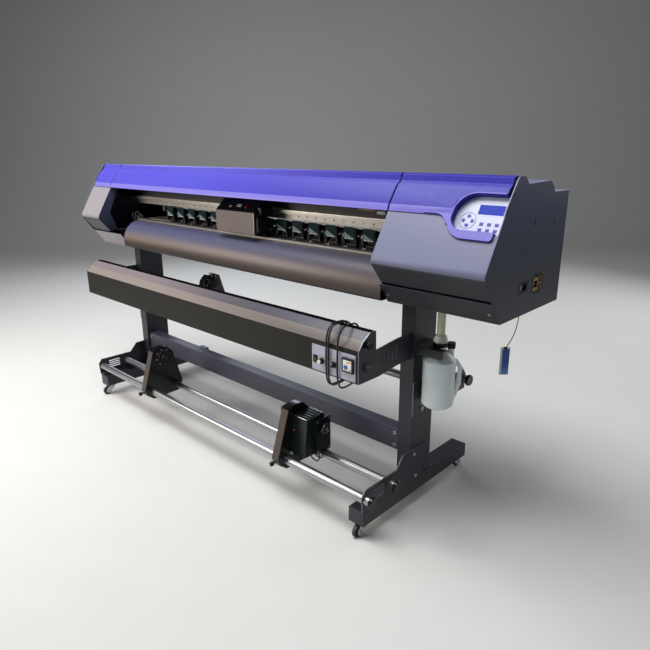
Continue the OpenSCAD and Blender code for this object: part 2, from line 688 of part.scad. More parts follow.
module power_inlet() color("#1a1a1c") difference() {
    union() {
        plate_in(switch_at, [75.6, 41.6], 12);
        plate_in(inlet_at, [91.6, 71.6], 3.5);
        along_x(side_x - 44, side_x - side_plate) translate([34, inlet_at[1]])
            square([50, 40], center = true);
    }
    along_x(side_x - 22, side_x) translate([34, inlet_at[1]]) square([26, 20], center = true);
    along_x(side_x - 20, side_x) translate(switch_at) square([46, 24], center = true);
}

module power_switch() color("#b33a1e") translate([switch_pivot, switch_at[0], switch_at[1] - 11])
    rotate([0, 0, switch_tilt]) {
        linear_extrude(22) polygon([[5, -22], [3.5, 0], [5, 22], [-6, 16], [-6, -16]]);
        rod_z([0, 0], 2, -0.8, 22.8);
    }

// Ink waste

module bottle_holder() color("#23252b") difference() {
    union() {
        slab([leg_x(1) + leg_out, -62, holder_z - 4], [leg_x(1) + leg_out + 122, 46, holder_z]);
        slab([leg_x(1) + leg_out, -66, holder_z - 34], [leg_x(1) + leg_out + 122, -62, holder_z]);
        slab([leg_x(1) + leg_out, -62, holder_z - 44], [leg_x(1) + leg_out + 4, 46, holder_z - 4]);
    }
    rod_z(bottle, neck_r + 1, holder_z - 5, holder_z + 1);
    slab([bottle[0], bottle[1] - neck_r - 1, holder_z - 5], [bottle[0] + 100, bottle[1] + 100, holder_z + 1]);
}

bottle_r = bottle_d / 2;
bottle_wall = [[neck_r - 3, bottle_top + 44], [neck_r - 3, bottle_top + 14], [bottle_r - 16, bottle_top - 14],
    [bottle_r - 3, bottle_top - 30], [bottle_r - 3, bottle_z + 14], [bottle_r - 14, bottle_z + 3],
    [0, bottle_z + 3], [0, bottle_z], [bottle_r - 12, bottle_z], [bottle_r, bottle_z + 12],
    [bottle_r, bottle_top - 29], [bottle_r - 15, bottle_top - 10], [neck_r, bottle_top + 14],
    [neck_r, bottle_top + 26 + gap], [neck_r + 5, bottle_top + 26 + gap], [neck_r + 5, bottle_top + 44]];
handle_outline = [[bottle_r - 6, bottle_top - 24], [bottle_r + 10, bottle_top - 32],
    [bottle_r + 26, bottle_top - 58], [bottle_r + 24, bottle_z + 96], [bottle_r + 10, bottle_z + 50],
    [bottle_r - 2, bottle_z + 24], [bottle_r - 2, bottle_z + 70], [bottle_r + 10, bottle_z + 92],
    [bottle_r + 12, bottle_top - 66], [bottle_r - 2, bottle_top - 50]];
spout = [27, 37];
spout_r = 13;
spout_top = bottle_top + 16;

// A jug with a moulded handle, and a capped pouring spout beside its neck
module waste_bottle() color("#e8ebec") translate([bottle[0], bottle[1], 0]) {
    rotate_extrude() polygon(bottle_wall);
    rotate([0, 0, -46]) along_x(-9, 9) polygon(handle_outline);
    rod_z(spout, spout_r, bottle_top - 24, spout_top);
    rod_z(spout, spout_r + 4, spout_top, spout_top + 22);
}

// A drain hose drops from the body to a collar over the bottle's neck
module waste_hose() color("#dfe3d8") {
    collar_z = bottle_top + 46;
    translate([bottle[0], bottle[1], collar_z]) difference() {
        cylinder(r1 = 30, r2 = 22, h = 26);
        translate([0, 0, -1]) cylinder(r = 8, h = 28);
    }
    rod_z(bottle, 16, collar_z + 26, body_bottom);
}

// Dryer

module end_outline(t) polygon(inset(dryer_outline, t));

module dryer_housing() color("#2c2c2a") difference() {
    union() {
        difference() {
            along_x(dryer_x0, dryer_x1) end_outline(0);
            along_x(dryer_x0 + sheet, dryer_x1 - sheet) end_outline(dryer_skin);
        }
        for (x = [dryer_x0 + sheet, dryer_x1 - sheet - 24]) {
            rod_x(tilt_axis, 12, x, x + 24);
            rod_x(lock_axis, 10, x, x + 24);
        }
        rod_y(gland_x, gland_z, 10, -305, -299);
        translate([gland_x, -299, gland_z]) rotate([-90, 0, 0]) cylinder(r1 = 8, r2 = 5, h = gland_end + 299);
    }
    for (x = [dryer_x0 - 1, dryer_x1 - 30]) {
        rod_x(tilt_axis, 6 + run, x, x + 31);
        rod_x(lock_axis, 4 + run, x, x + 31);
    }
    for (i = [0 : 15]) translate([dryer_x0 + 60 + 112 * i, -309, dryer_z + 30]) cube([80, 9, 10]);
    slab([rocker_x - 8, -400, dryer_knob_z - 12], [rocker_x + 8, -390, dryer_knob_z + 14]);
    slab([controller_x - 23, -400, controller_z - 23], [controller_x + 23, -390, controller_z + 23]);
    for (x = dryer_knob_x) rod_y(x, dryer_knob_z, 5, -400, -390);
}

module dryer_panel() color("#c9cad6") difference() {
    slab([dryer_x1 - 224, panel_y - panel_t, dryer_z + 6], [dryer_x1 - 8, panel_y, dryer_z + 107]);
    slab([rocker_x - 8, -402, dryer_knob_z - 12], [rocker_x + 8, -390, dryer_knob_z + 14]);
    slab([controller_x - 23, -402, controller_z - 23], [controller_x + 23, -390, controller_z + 23]);
    for (x = dryer_knob_x) rod_y(x, dryer_knob_z, 3 + run, -402, -390);
}

// The rocker rests with its lower half pressed in
rocker_z = dryer_knob_z + 1;
rocker_tilt = 8;

module dryer_switch() color("#161617") translate([rocker_x, -396, rocker_z]) rotate([rocker_tilt, 0, 0]) {
    along_x(-7, 7) polygon([[-9, -11], [-7.5, 0], [-9, 11], [4, 8], [4, -8]]);
    rod_x([0, 0], 1.5, -7.8, 7.8);
}

module dryer_knob(x) color("#1c1c1e") {
    rod_y(x, dryer_knob_z, 13, panel_y - panel_t - 18, panel_y - panel_t - gap);
    rod_y(x, dryer_knob_z, 3, panel_y - panel_t - gap - 1, -384);
    slab([x - 1, panel_y - panel_t - 19.5, dryer_knob_z], [x + 1, panel_y - panel_t - 17, dryer_knob_z + 12]);
}

module temperature_controller() color("#1d1e20") {
    difference() {
        slab([controller_x - 27, panel_y - panel_t - 8, controller_z - 27],
            [controller_x + 27, panel_y - panel_t, controller_z + 27]);
        slab([controller_x - 21, panel_y - panel_t - 9, controller_z - 21],
            [controller_x + 21, panel_y - panel_t - 5, controller_z + 21]);
    }
    slab([controller_x - 22.5, panel_y - panel_t, controller_z - 22.5],
        [controller_x + 22.5, panel_y + 30, controller_z + 22.5]);
}

// The arms' ends follow the dryer's outline; its tilt is locked by a screw in a slot round its pivot
arm_outline = [for (p = [[-75, 15], [-75, 121], [-167, 121], [-300, 108], [-303, 183], [-335, 183],
    [-372, 159], [-398, 127], [-398, 0], [-279, 0], [-160, 13]]) dry(p)];

module dryer_arms() color("#262830") for (s = [-1, 1]) {
    face = s < 0 ? dryer_x0 - gap - arm_t : dryer_x1 + gap;
    difference() {
        along_x(face, face + arm_t) polygon(arm_outline);
        along_x(face - 1, face + arm_t + 1) translate(lock_axis) rotate(lock_angle) translate([-0.7, 0])
            square(tilt_slot, center = true);
        for (k = [0 : 4]) along_x(face - 1, face + arm_t + 1)
            translate([22 * k - 268, dryer_z + 44 - k]) square([6, 36 + 6 * k]);
    }
    flange = s < 0 ? face : face + arm_t - 40;
    slab([flange, -79, dryer_z + 15], [flange + 40, -75, dryer_z + 121]);
    stud = s < 0 ? face : face + arm_t;
    rod_x(tilt_axis, 6, min(stud, stud - s * 28), max(stud, stud - s * 28));
    rod_x(tilt_axis, 15, min(stud, stud + s * 18), max(stud, stud + s * 18));
}

lock_angle = atan2(lock_axis[1] - tilt_axis[1], lock_axis[0] - tilt_axis[0]);

module dryer_lock_knobs() color("#18181a") for (s = [-1, 1]) {
    face = s < 0 ? dryer_x0 - 2 * gap - arm_t : dryer_x1 + 2 * gap + arm_t;
    rod_x(lock_axis, 15, min(face, face + s * 18), max(face, face + s * 18));
    rod_x(lock_axis, 4, min(face, face - s * 28), max(face, face - s * 28));
}

module dryer_heater() color("#8f6b4a") for (z = [125, 95])
    rod_x(dry([-328, z]), 7, dryer_x0 + sheet, dryer_x1 - sheet);

// The lead winds round the dryer from below, up its front, over the top and down behind
function signed_power(v) = sign(v) * pow(abs(v), wind_power);
function ease(v) = let (c = min(max(v, 0), 1)) c * c * (3 - 2 * c);
function wind(t) = [gland_x + 2 + 11 * t + 34 * ease((t - 1.4) / 0.7),
    wind_mid[0] - wind_half[0] * signed_power(sin(360 * t)),
    wind_mid[1] - wind_half[1] * signed_power(cos(360 * t))];
lead_wind = [for (i = [0 : ring_turn * lead_turns]) wind(i / ring_turn)];
lead_end = lead_wind[len(lead_wind) - 1];
lead_down = [for (d = [lead_tail / 2, lead_tail]) lead_end + [0, 0, -d]];
lead_path = concat(lead_in, lead_wind, lead_down);
lead_gap = min([for (i = [0 : len(lead_path) - 1], j = [0 : len(lead_path) - 1]) if (j > i + 8)
    norm(lead_path[i] - lead_path[j]) - lead_d]);
function span(p) = [for (i = [1 : len(p) - 1]) norm(p[i] - p[i - 1])];
function total(v) = v * [for (i = v) 1];
echo("least gap of the dryer's lead to itself, mm", lead_gap);
echo("length of the dryer's lead, mm", total(span(lead_path)));

module dryer_cord() color("#151515") swept(lead_path, lead_d, 6);

module dryer_plug() color("#1b1b1b") {
    top = lead_end - [0, 0, lead_tail];
    translate(top - [0, 0, 18]) cylinder(r1 = 9, r2 = 5.5, h = 18);
    translate(top - [0, 0, plug_l]) cylinder(r = 14, h = plug_l - 18);
    for (x = [-6.4, 6.4]) translate(top + [x, 0, -plug_l - 17]) cylinder(r = 2.2, h = 18);
}

// The earth lead and the tag on its end
module earth_lead() color("#c9c23a") {
    end = earth_route[len(earth_route) - 1];
    swept(earth_route, earth_d, 8);
    translate(end + [0, 0, tag_hang - tag[2] / 2]) rotate([0, 0, tag_turn])
        translate([0, -earth_d / 2 - 0.5, 0]) cube(tag, center = true);
}

legs();
feet();
cross_beam();
stand_bolts();
rod_brackets();
roll_rods();
base_frame();
platen();
aprons();
rear_cover();
left_end_cover();
right_cabinet();
end_top_covers();
control_panel();
gantry_beam();
guide_rail();
drive_motors();
drive_belt();
power_inlet();
power_switch();
bottle_holder();
waste_hose();
waste_bottle();
dryer_arms();
earth_lead();
caster_fork(-1, -1);  // caster_fork_front_left
caster_fork(1, -1);  // caster_fork_front_right
caster_fork(-1, 1);  // caster_fork_rear_left
caster_fork(1, 1);  // caster_fork_rear_right
caster_wheel(-1, -1);  // caster_wheel_front_left
caster_wheel(1, -1);  // caster_wheel_front_right
caster_wheel(-1, 1);  // caster_wheel_rear_left
caster_wheel(1, 1);  // caster_wheel_rear_right
takeup_idle_support();
chuck(-1, takeup_z, idle_x, 1);  // takeup_idle_chuck
takeup_idle_lock();
takeup_drive_support();
chuck(-1, takeup_z, drive_x, -1);  // takeup_drive_chuck
takeup_drive_lock();
feed_support(feed_left_x);  // feed_left_support
chuck(1, feed_z, feed_left_x, 1);  // feed_left_chuck
feed_support(feed_right_x);  // feed_right_support
chuck(1, feed_z, feed_right_x, -1);  // feed_right_chuck
top_lid();
carriage();
motor_pulley();
grit_roller();
pinch_arms();
pinch_rollers();
capping_station();
dryer_housing();
dryer_panel();
dryer_switch();
dryer_knob(dryer_knob_x[0]);  // heat_knob
dryer_knob(dryer_knob_x[1]);  // fan_knob
temperature_controller();
dryer_lock_knobs();
dryer_heater();
dryer_cord();
dryer_plug();
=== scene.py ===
"""Looks of a wide roll-fed inkjet printer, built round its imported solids.
Places and sizes are in millimetres, and become metres when a piece is made."""

import json
import math

import bmesh
import bpy
from mathutils import Matrix, Vector


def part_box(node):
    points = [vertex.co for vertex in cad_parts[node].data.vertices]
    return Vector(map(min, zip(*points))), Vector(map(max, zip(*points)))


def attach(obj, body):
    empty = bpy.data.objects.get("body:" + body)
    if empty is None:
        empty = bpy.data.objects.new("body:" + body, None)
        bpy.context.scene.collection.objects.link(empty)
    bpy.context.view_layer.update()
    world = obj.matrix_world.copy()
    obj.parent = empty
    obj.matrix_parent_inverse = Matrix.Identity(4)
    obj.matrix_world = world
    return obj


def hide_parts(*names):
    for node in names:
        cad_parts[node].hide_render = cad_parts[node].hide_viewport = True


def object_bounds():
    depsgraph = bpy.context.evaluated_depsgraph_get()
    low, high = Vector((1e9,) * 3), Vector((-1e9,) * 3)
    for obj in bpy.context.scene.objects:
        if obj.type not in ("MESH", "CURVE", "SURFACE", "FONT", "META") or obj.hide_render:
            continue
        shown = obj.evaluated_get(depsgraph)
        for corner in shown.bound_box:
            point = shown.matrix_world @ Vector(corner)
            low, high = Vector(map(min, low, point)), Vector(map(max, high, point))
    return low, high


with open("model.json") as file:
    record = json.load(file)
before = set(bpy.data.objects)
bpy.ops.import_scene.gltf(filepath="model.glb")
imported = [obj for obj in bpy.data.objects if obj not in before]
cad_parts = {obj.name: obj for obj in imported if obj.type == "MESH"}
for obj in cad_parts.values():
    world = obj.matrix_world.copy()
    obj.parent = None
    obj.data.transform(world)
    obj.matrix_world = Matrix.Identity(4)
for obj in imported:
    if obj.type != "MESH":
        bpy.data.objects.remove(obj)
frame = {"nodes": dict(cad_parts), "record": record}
cad_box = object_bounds()
MM = 0.001
X, Y, Z = Vector((1, 0, 0)), Vector((0, 1, 0)), Vector((0, 0, 1))


def linked(name, data):
    obj = bpy.data.objects.new(name, data)
    bpy.context.scene.collection.objects.link(obj)
    return obj


# Camera: where the photographer stood, and how the lens was held; lens and sensor in millimetres

CAMERA_AT = Vector((2.1312, -1.8682, 1.4708))
CAMERA_TURN = math.radians(43.43)
CAMERA_DOWN = math.radians(16.967)
CAMERA_ROLL = math.radians(-0.279)
CAMERA_LENS, CAMERA_SENSOR = 31.98, 36.0
FARTHEST = 60


def camera():
    ahead = Vector((-math.sin(CAMERA_TURN) * math.cos(CAMERA_DOWN),
                    math.cos(CAMERA_TURN) * math.cos(CAMERA_DOWN), -math.sin(CAMERA_DOWN)))
    level = ahead.cross(Z).normalized()
    upright = level.cross(ahead)
    right = level * math.cos(CAMERA_ROLL) + upright * math.sin(CAMERA_ROLL)
    up = upright * math.cos(CAMERA_ROLL) - level * math.sin(CAMERA_ROLL)
    data = bpy.data.cameras.new("photo_camera")
    data.lens, data.sensor_width = CAMERA_LENS, CAMERA_SENSOR
    data.clip_end = FARTHEST
    made = linked("photo_camera", data)
    made.matrix_world = Matrix.Translation(CAMERA_AT) @ Matrix((right, up, -ahead)).transposed().to_4x4()
    bpy.context.scene.camera = made


camera()


# Materials

def linear(hex_colour):
    """An sRGB hex colour as linear red, green, blue and alpha."""
    parts = [int(hex_colour[i:i + 2], 16) / 255 for i in (1, 3, 5)]
    return [p / 12.92 if p <= 0.04045 else ((p + 0.055) / 1.055) ** 2.4 for p in parts] + [1.0]


def node(tree, kind, inputs=None, **settings):
    """Adds a node with its settings; an input is a value, or another node's output to link."""
    made = tree.nodes.new(kind)
    for name, value in settings.items():
        setattr(made, name, value)
    for socket, value in (inputs or {}).items():
        if isinstance(value, bpy.types.NodeSocket):
            tree.links.new(value, made.inputs[socket])
        else:
            made.inputs[socket].default_value = value
    return made


# Height of a raised grain at full strength, in millimetres
RELIEF = 0.3


def finish(name, colour, second, rough, grain, bump, stretch=(1, 1, 1), smudge=0.06, drift=160, **sockets):
    """A material whose colour drifts to a second one and whose gloss wanders, over patches of
    drift mm, with a raised grain of grain mm; stretch scales the pattern along X, Y and Z."""
    made = bpy.data.materials.new(name)
    made.use_nodes = True
    tree = made.node_tree
    shader = tree.nodes["Principled BSDF"]
    place = node(tree, "ShaderNodeTexCoord").outputs["Object"]
    spread = node(tree, "ShaderNodeMapping", {"Vector": place, "Scale": stretch}).outputs["Vector"]
    fine = node(tree, "ShaderNodeTexNoise", {"Vector": spread, "Scale": 1 / (grain * MM), "Detail": 3.0})
    broad = node(tree, "ShaderNodeTexNoise", {"Vector": spread, "Scale": 1 / (drift * MM), "Detail": 5.0})
    tone = node(tree, "ShaderNodeMix", {0: broad.outputs["Fac"], 6: linear(colour), 7: linear(second)},
                data_type="RGBA")
    gloss = node(tree, "ShaderNodeMapRange", {
        "Value": fine.outputs["Fac"], "From Min": 0.25, "From Max": 0.75, "To Min": rough - smudge,
        "To Max": rough + smudge})
    relief = node(tree, "ShaderNodeBump", {
        "Height": fine.outputs["Fac"], "Strength": bump, "Distance": RELIEF * MM})
    tree.links.new(tone.outputs[2], shader.inputs["Base Color"])
    tree.links.new(gloss.outputs["Result"], shader.inputs["Roughness"])
    tree.links.new(relief.outputs["Normal"], shader.inputs["Normal"])
    for socket, value in sockets.items():
        shader.inputs[socket.replace("_", " ")].default_value = value
    return made


def graded(made, colour, low, high, axis="Z"):
    """Fades a material's colour to another one between two places along an axis."""
    tree = made.node_tree
    shader = tree.nodes["Principled BSDF"]
    place = node(tree, "ShaderNodeTexCoord").outputs["Object"]
    along = node(tree, "ShaderNodeSeparateXYZ", {"Vector": place}).outputs[axis]
    share = node(tree, "ShaderNodeMapRange", {"Value": along, "From Min": low * MM, "From Max": high * MM},
                 interpolation_type="SMOOTHSTEP").outputs["Result"]
    own = shader.inputs["Base Color"].links[0].from_socket
    fade = node(tree, "ShaderNodeMix", {0: share, 6: own, 7: linear(colour)}, data_type="RGBA")
    tree.links.new(fade.outputs[2], shader.inputs["Base Color"])
    return made


# Where a finish fades along an axis, or a coat has tones of its own on some faces, that stands for light
# and sheen as the photo shows them: the real finish is taken to be even.

# Powder-coated sheet steel: satin, with the orange-peel skin of a baked coat.
# The peel is about 1 mm on the real sheet and is drawn 3 mm wide, so that it shows.
cabinet_coat = finish("powder_coated_steel_grey", "#827f86", "#89868d", 0.4, 3, 0.10)
# Painted paler at the left end and darker and bluer at the right cabinet: painted light.
cabinet_coat = graded(cabinet_coat, "#646883", -1100, 880, "X")
# Side plates: a dark slate, partly their own coat and partly painted shade, painted lighter towards the top
# as painted light.
side_coat = finish("powder_coated_steel_side_plate", "#1c2332", "#212837", 0.42, 3, 0.12)
side_coat = graded(side_coat, "#464b69", 960, 1330)
slate_coat = finish("powder_coated_steel_slate", "#3a3c4b", "#404251", 0.42, 3, 0.12)
dark_coat = finish("powder_coated_steel_charcoal", "#22242b", "#282a31", 0.42, 3, 0.12)
leg_coat = finish("powder_coated_steel_blue_black", "#1f212b", "#25272f", 0.42, 3, 0.12)
# The sheet guide fades up its bend to a paler tone, then a bluer one, and along the machine: painted light
# and sheen.
apron_coat = finish("powder_coated_steel_sheet_guide", "#332d2a", "#3b3531", 0.4, 3, 0.08,
                    Specular_IOR_Level=0.25)
apron_coat = graded(graded(apron_coat, "#675c55", 955, 1000), "#4a4c66", 985, 1052)
apron_coat = graded(apron_coat, "#463f3b", -500, 1600, "X")
taupe_coat = finish("enamelled_plate_taupe", "#5e5550", "#665c56", 0.42, 3, 0.1)
black_coat = finish("painted_steel_black", "#15161a", "#1b1c20", 0.5, 3, 0.12)
# Lacquer of the take-up motor: dark teal, deep and shiny.
teal_lacquer = finish("lacquered_motor_shell", "#0a1213", "#0e1819", 0.34, 9, 0.06)
# Baked enamel of the dryer: dull black, with brown and violet tones on its slopes as painted sheen and a
# darker top as painted shade.
dryer_coat = finish("baked_enamel_black_brown", "#1a1a17", "#1f1f1b", 0.5, 3, 0.10, Specular_IOR_Level=0.2)
dryer_sheen = finish("baked_enamel_front_slope_sheen", "#776f6b", "#817873", 0.36, 3, 0.08)
dryer_sheen = graded(dryer_sheen, "#57504c", -500, 900, "X")
dryer_slope_sheen = finish("baked_enamel_upper_slope_sheen", "#6c656a", "#756d71", 0.36, 3, 0.08)
dryer_slope_sheen = graded(dryer_slope_sheen, "#302f3c", -650, 550, "X")
dryer_top_shade = finish("baked_enamel_top_shade", "#0a0a0b", "#0e0e0f", 0.85, 3, 0.1, Specular_IOR_Level=0.0)
# Edges of sheet and plate: streaked pale steel on them is a painted highlight, and a support plate's front
# edge is painted dull brown as painted light.
edge_highlight = finish("steel_edge_highlight", "#83858a", "#5c5e66", 0.4, 5, 0.1, Metallic=0.8)
plate_edge_light = finish("plate_edge_painted_light", "#3e3732", "#48403a", 0.42, 4, 0.1)
# Gloss ABS, vacuum formed: deep violet with faint flow marks.
violet_abs = finish("vacuum_formed_abs_violet", "#4642aa", "#4c48b0", 0.4, 14, 0.03, Specular_IOR_Level=0.22)
# Painted paler to the left and darker and bluer towards the right: painted light.
violet_abs = graded(violet_abs, "#2e2a92", -500, 950, "X")
# The same sheet round its lower edge, which turns to the light and looks paler.
violet_lip = finish("vacuum_formed_abs_violet_edge", "#6863b4", "#716cba", 0.36, 14, 0.03,
                    Specular_IOR_Level=0.3)
# Gloss and matt moulded ABS: the matt one has a spark-eroded mould texture, drawn 2 mm wide.
gloss_abs = finish("moulded_abs_gloss_black", "#08090a", "#0d0e10", 0.22, 9, 0.05)
matt_abs = finish("moulded_abs_matt_black", "#0f0f11", "#161618", 0.5, 2, 0.2, Specular_IOR_Level=0.3)
white_abs = finish("moulded_abs_white", "#dcdcd6", "#e6e6e1", 0.38, 3, 0.06)
# Hard chrome on ground tube: bright, with faint bands of the grinding round it, drawn 40 mm apart.
chrome = finish("hard_chrome", "#a4a6ab", "#b0b2b6", 0.33, 40, 0.001, (1, 0.02, 0.02), 0.01, Metallic=1.0)
# Zinc plate: bright and clouded on screws, whiter and duller on pressings.
zinc = finish("zinc_plated_steel", "#b4b8bd", "#cfd2d5", 0.28, 8, 0.1, Metallic=1.0)
bright_zinc = finish("bright_zinc_pressing", "#c3c8cc", "#d4d8da", 0.3, 8, 0.08, Metallic=0.45)
# Brushed and blasted extrusions: streaks run along the machine, drawn 1.5 mm wide, and round a ground roller.
aluminium = finish("brushed_aluminium", "#a5a39d", "#b7b5b0", 0.36, 1.5, 0.25, (0.02, 1, 1), Metallic=1.0)
platen_face = finish("bead_blasted_aluminium", "#97969b", "#a3a2a6", 0.44, 1.5, 0.3, (0.02, 1, 1),
                     Metallic=0.6)
ground_steel = finish("ground_steel", "#8e9096", "#a3a5aa", 0.3, 2, 0.2, (1, 0.05, 0.05), Metallic=1.0)
# Milky HDPE, blow moulded: light soaks in a little, with soft ripples of the mould.
hdpe = finish("blow_moulded_hdpe", "#e2e9eb", "#ecf1f2", 0.36, 22, 0.25, Subsurface_Weight=0.25,
              Subsurface_Scale=0.01)
# Hoses, leads and rubbers: dull, with the skin of the extruder or the mould.
pvc_hose = finish("pvc_hose_cream", "#cbc7ab", "#dad7c2", 0.4, 10, 0.1)
belt_rubber = finish("fabric_reinforced_rubber", "#17171a", "#202022", 0.7, 2, 0.3)
tread_rubber = finish("moulded_rubber_grey", "#2a2b2e", "#343538", 0.62, 3, 0.25)
pale_rubber = finish("moulded_rubber_white", "#c9cac6", "#d8d9d5", 0.55, 3, 0.15)
cord_rubber = finish("extruded_pvc_black", "#0a0a0b", "#101011", 0.42, 5, 0.08)
yellow_pvc = finish("extruded_pvc_yellow", "#d3c11e", "#dccd2c", 0.42, 5, 0.08)
# Printed polyester film over the keypad, and the plain coloured films and dyed plastics of the controls.
panel_film = finish("polyester_film_pale", "#aeb4cc", "#b8bed4", 0.3, 4, 0.04)
violet_film = finish("polyester_film_violet", "#2c2494", "#372ea4", 0.3, 4, 0.04)
metal_film = finish("brushed_panel_film", "#a0a4b6", "#aeb2c2", 0.34, 1.5, 0.12, (0.05, 1, 1))
blue_film = graded(finish("polyester_film_blue", "#4f92e4", "#5a9ae8", 0.35, 6, 0.05), "#2450a4", 630, 690)
amber_film = finish("polyester_film_amber", "#a8761a", "#96823c", 0.35, 6, 0.05)
orange_print = finish("screen_print_orange", "#c9702a", "#d27e38", 0.4, 6, 0.05)
green_print = finish("screen_print_green", "#7f9f76", "#93b08b", 0.4, 6, 0.05)
red_lens = finish("dyed_lens_red", "#a01e14", "#b12e20", 0.2, 6, 0.05)
# Smoked polycarbonate guards over the pinch rollers: dark teal and glassy, with a paler bent corner that is a
# painted reflection.
smoked = finish("smoked_polycarbonate", "#12282b", "#1c363a", 0.1, 20, 0.05, Coat_Weight=0.5)
smoked_glint = finish("smoked_polycarbonate_glint", "#7b8f91", "#8a9d9f", 0.15, 20, 0.05)
# Heating rods: a browned metal sheath.
rod_sheath = finish("sheathed_heating_element", "#6e5442", "#86684f", 0.4, 4, 0.2, Metallic=0.8)

# The slanted front face: x along the machine, up the slope from the crease, and out of the face
CREASE = Vector((0, -332, 1097))
FACE_TOP = Vector((0, -234, 1262))
FACE_LEAN = math.atan2(FACE_TOP.z - CREASE.z, FACE_TOP.y - CREASE.y)
FACE = Matrix.Translation(CREASE) @ Matrix.Rotation(FACE_LEAN, 4, "X")


# Width and height of a character cell in the display, and the gap between two, in millimetres
CELL_WIDE, CELL_TALL, CELL_GAP = 4.2, 7, 0.6


def display_glass():
    """Backlit liquid crystal glass: deep blue, with rows of paler blank character cells."""
    colours = "#182f9c", "#1e38a8"
    made = finish("backlit_lcd_glass", *colours, 0.45, 8, 0.02, Specular_IOR_Level=0.15)
    tree = made.node_tree
    shader = tree.nodes["Principled BSDF"]
    place = node(tree, "ShaderNodeTexCoord").outputs["Object"]
    turned = node(tree, "ShaderNodeMapping", {"Vector": place, "Rotation": (-FACE_LEAN, 0, 0)})
    cells = node(tree, "ShaderNodeTexBrick", {
        "Vector": turned.outputs["Vector"], "Color1": linear(colours[0]), "Color2": linear(colours[1]),
        "Mortar": linear("#101f74"), "Scale": 1.0, "Mortar Size": CELL_GAP * MM,
        "Brick Width": CELL_WIDE * MM, "Row Height": CELL_TALL * MM}, offset=0.0)
    tree.links.new(cells.outputs["Color"], shader.inputs["Base Color"])
    tree.links.new(cells.outputs["Color"], shader.inputs["Emission Color"])
    shader.inputs["Emission Strength"].default_value = 0.3
    return made


lcd_glass = display_glass()


# Shapes: each adds to a bmesh in millimetres, and a piece is made of as many as it needs

def bridge(bm, rings):
    for low, high in zip(rings, rings[1:]):
        count = len(low)
        for k in range(count):
            bm.faces.new((low[k], low[(k + 1) % count], high[(k + 1) % count], high[k]))


def circle(u, v, sides):
    """Unit vectors all round, from u over v."""
    angles = [2 * math.pi * k / sides for k in range(sides)]
    return [u * math.cos(a) + v * math.sin(a) for a in angles]


def add_box(bm, low, high):
    low, high = Vector(low), Vector(high)
    place = Matrix.Translation((low + high) / 2) @ Matrix.Diagonal((*(high - low), 1))
    bmesh.ops.create_cube(bm, size=1, matrix=place)


def add_turned(bm, start, axis, profile, sides=32, lobes=0, lobe=0.0):
    """A turned shape: profile gives (along, radius) pairs; lobes makes it wavy, as on a grip knob."""
    start, axis = Vector(start), Vector(axis).normalized()
    u = axis.orthogonal().normalized()
    rings = []
    for along, radius in profile:
        ring = []
        for k, out in enumerate(circle(u, axis.cross(u), sides)):
            dip = lobe * (0.5 - 0.5 * math.cos(2 * math.pi * lobes * k / sides))
            ring.append(bm.verts.new(start + axis * along + out * max(radius - dip, 0.05)))
        rings.append(ring)
    bridge(bm, rings)
    bm.faces.new(rings[0][::-1])
    bm.faces.new(rings[-1])


def add_rod(bm, a, b, radius, chamfer=0.5, sides=24):
    a, b = Vector(a), Vector(b)
    length = (b - a).length
    ends = [(0, radius - chamfer), (chamfer, radius), (length - chamfer, radius), (length, radius - chamfer)]
    add_turned(bm, a, b - a, ends, sides)


def add_prism(bm, outline, push):
    """A flat outline of points in space, pushed along a vector."""
    low = [bm.verts.new(p) for p in outline]
    high = [bm.verts.new(Vector(p) + Vector(push)) for p in outline]
    bm.faces.new(low[::-1])
    bm.faces.new(high)
    bridge(bm, [low, high])


def smooth_line(points, steps=4):
    """A Catmull-Rom curve through points."""
    points = [Vector(p) for p in points]
    last = len(points) - 1
    line = []
    for i in range(last):
        a, b, c, d = (points[min(max(i + k, 0), last)] for k in (-1, 0, 1, 2))
        for j in range(steps):
            t = j / steps
            line.append(0.5 * (2 * b + (c - a) * t + (2 * a - 5 * b + 4 * c - d) * t ** 2
                               + (3 * b - a - 3 * c + d) * t ** 3))
    return line + [points[-1]]


def add_tube(bm, line, radius, sides=10):
    """A round tube along a line of points."""
    rings = []
    side = None
    for i, p in enumerate(line):
        ahead = (line[min(i + 1, len(line) - 1)] - line[max(i - 1, 0)]).normalized()
        side = ahead.orthogonal() if side is None else side - ahead * side.dot(ahead)
        side.normalize()
        rings.append([bm.verts.new(p + radius * out) for out in circle(side, ahead.cross(side), sides)])
    bridge(bm, rings)
    bm.faces.new(rings[0][::-1])
    bm.faces.new(rings[-1])


def add_ring(bm, middle, axis, radius, thick, around=40, sides=8):
    """A round wire ring."""
    axis = Vector(axis).normalized()
    u = axis.orthogonal().normalized()
    rings = []
    for out in circle(u, axis.cross(u), around):
        core = Vector(middle) + out * radius
        rings.append([bm.verts.new(core + thick * off) for off in circle(out, axis, sides)])
    bridge(bm, rings + rings[:1])


def settle(obj):
    """Turns an object's modifiers into its plain mesh."""
    bpy.context.view_layer.update()
    made = bpy.data.meshes.new_from_object(obj.evaluated_get(bpy.context.evaluated_depsgraph_get()))
    obj.modifiers.clear()
    obj.data = made


def tie(obj, body, replaces=()):
    """Ties a finished piece to its body, and hides the nodes that it stands for."""
    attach(obj, body)
    if replaces:
        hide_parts(*replaces)
    return obj


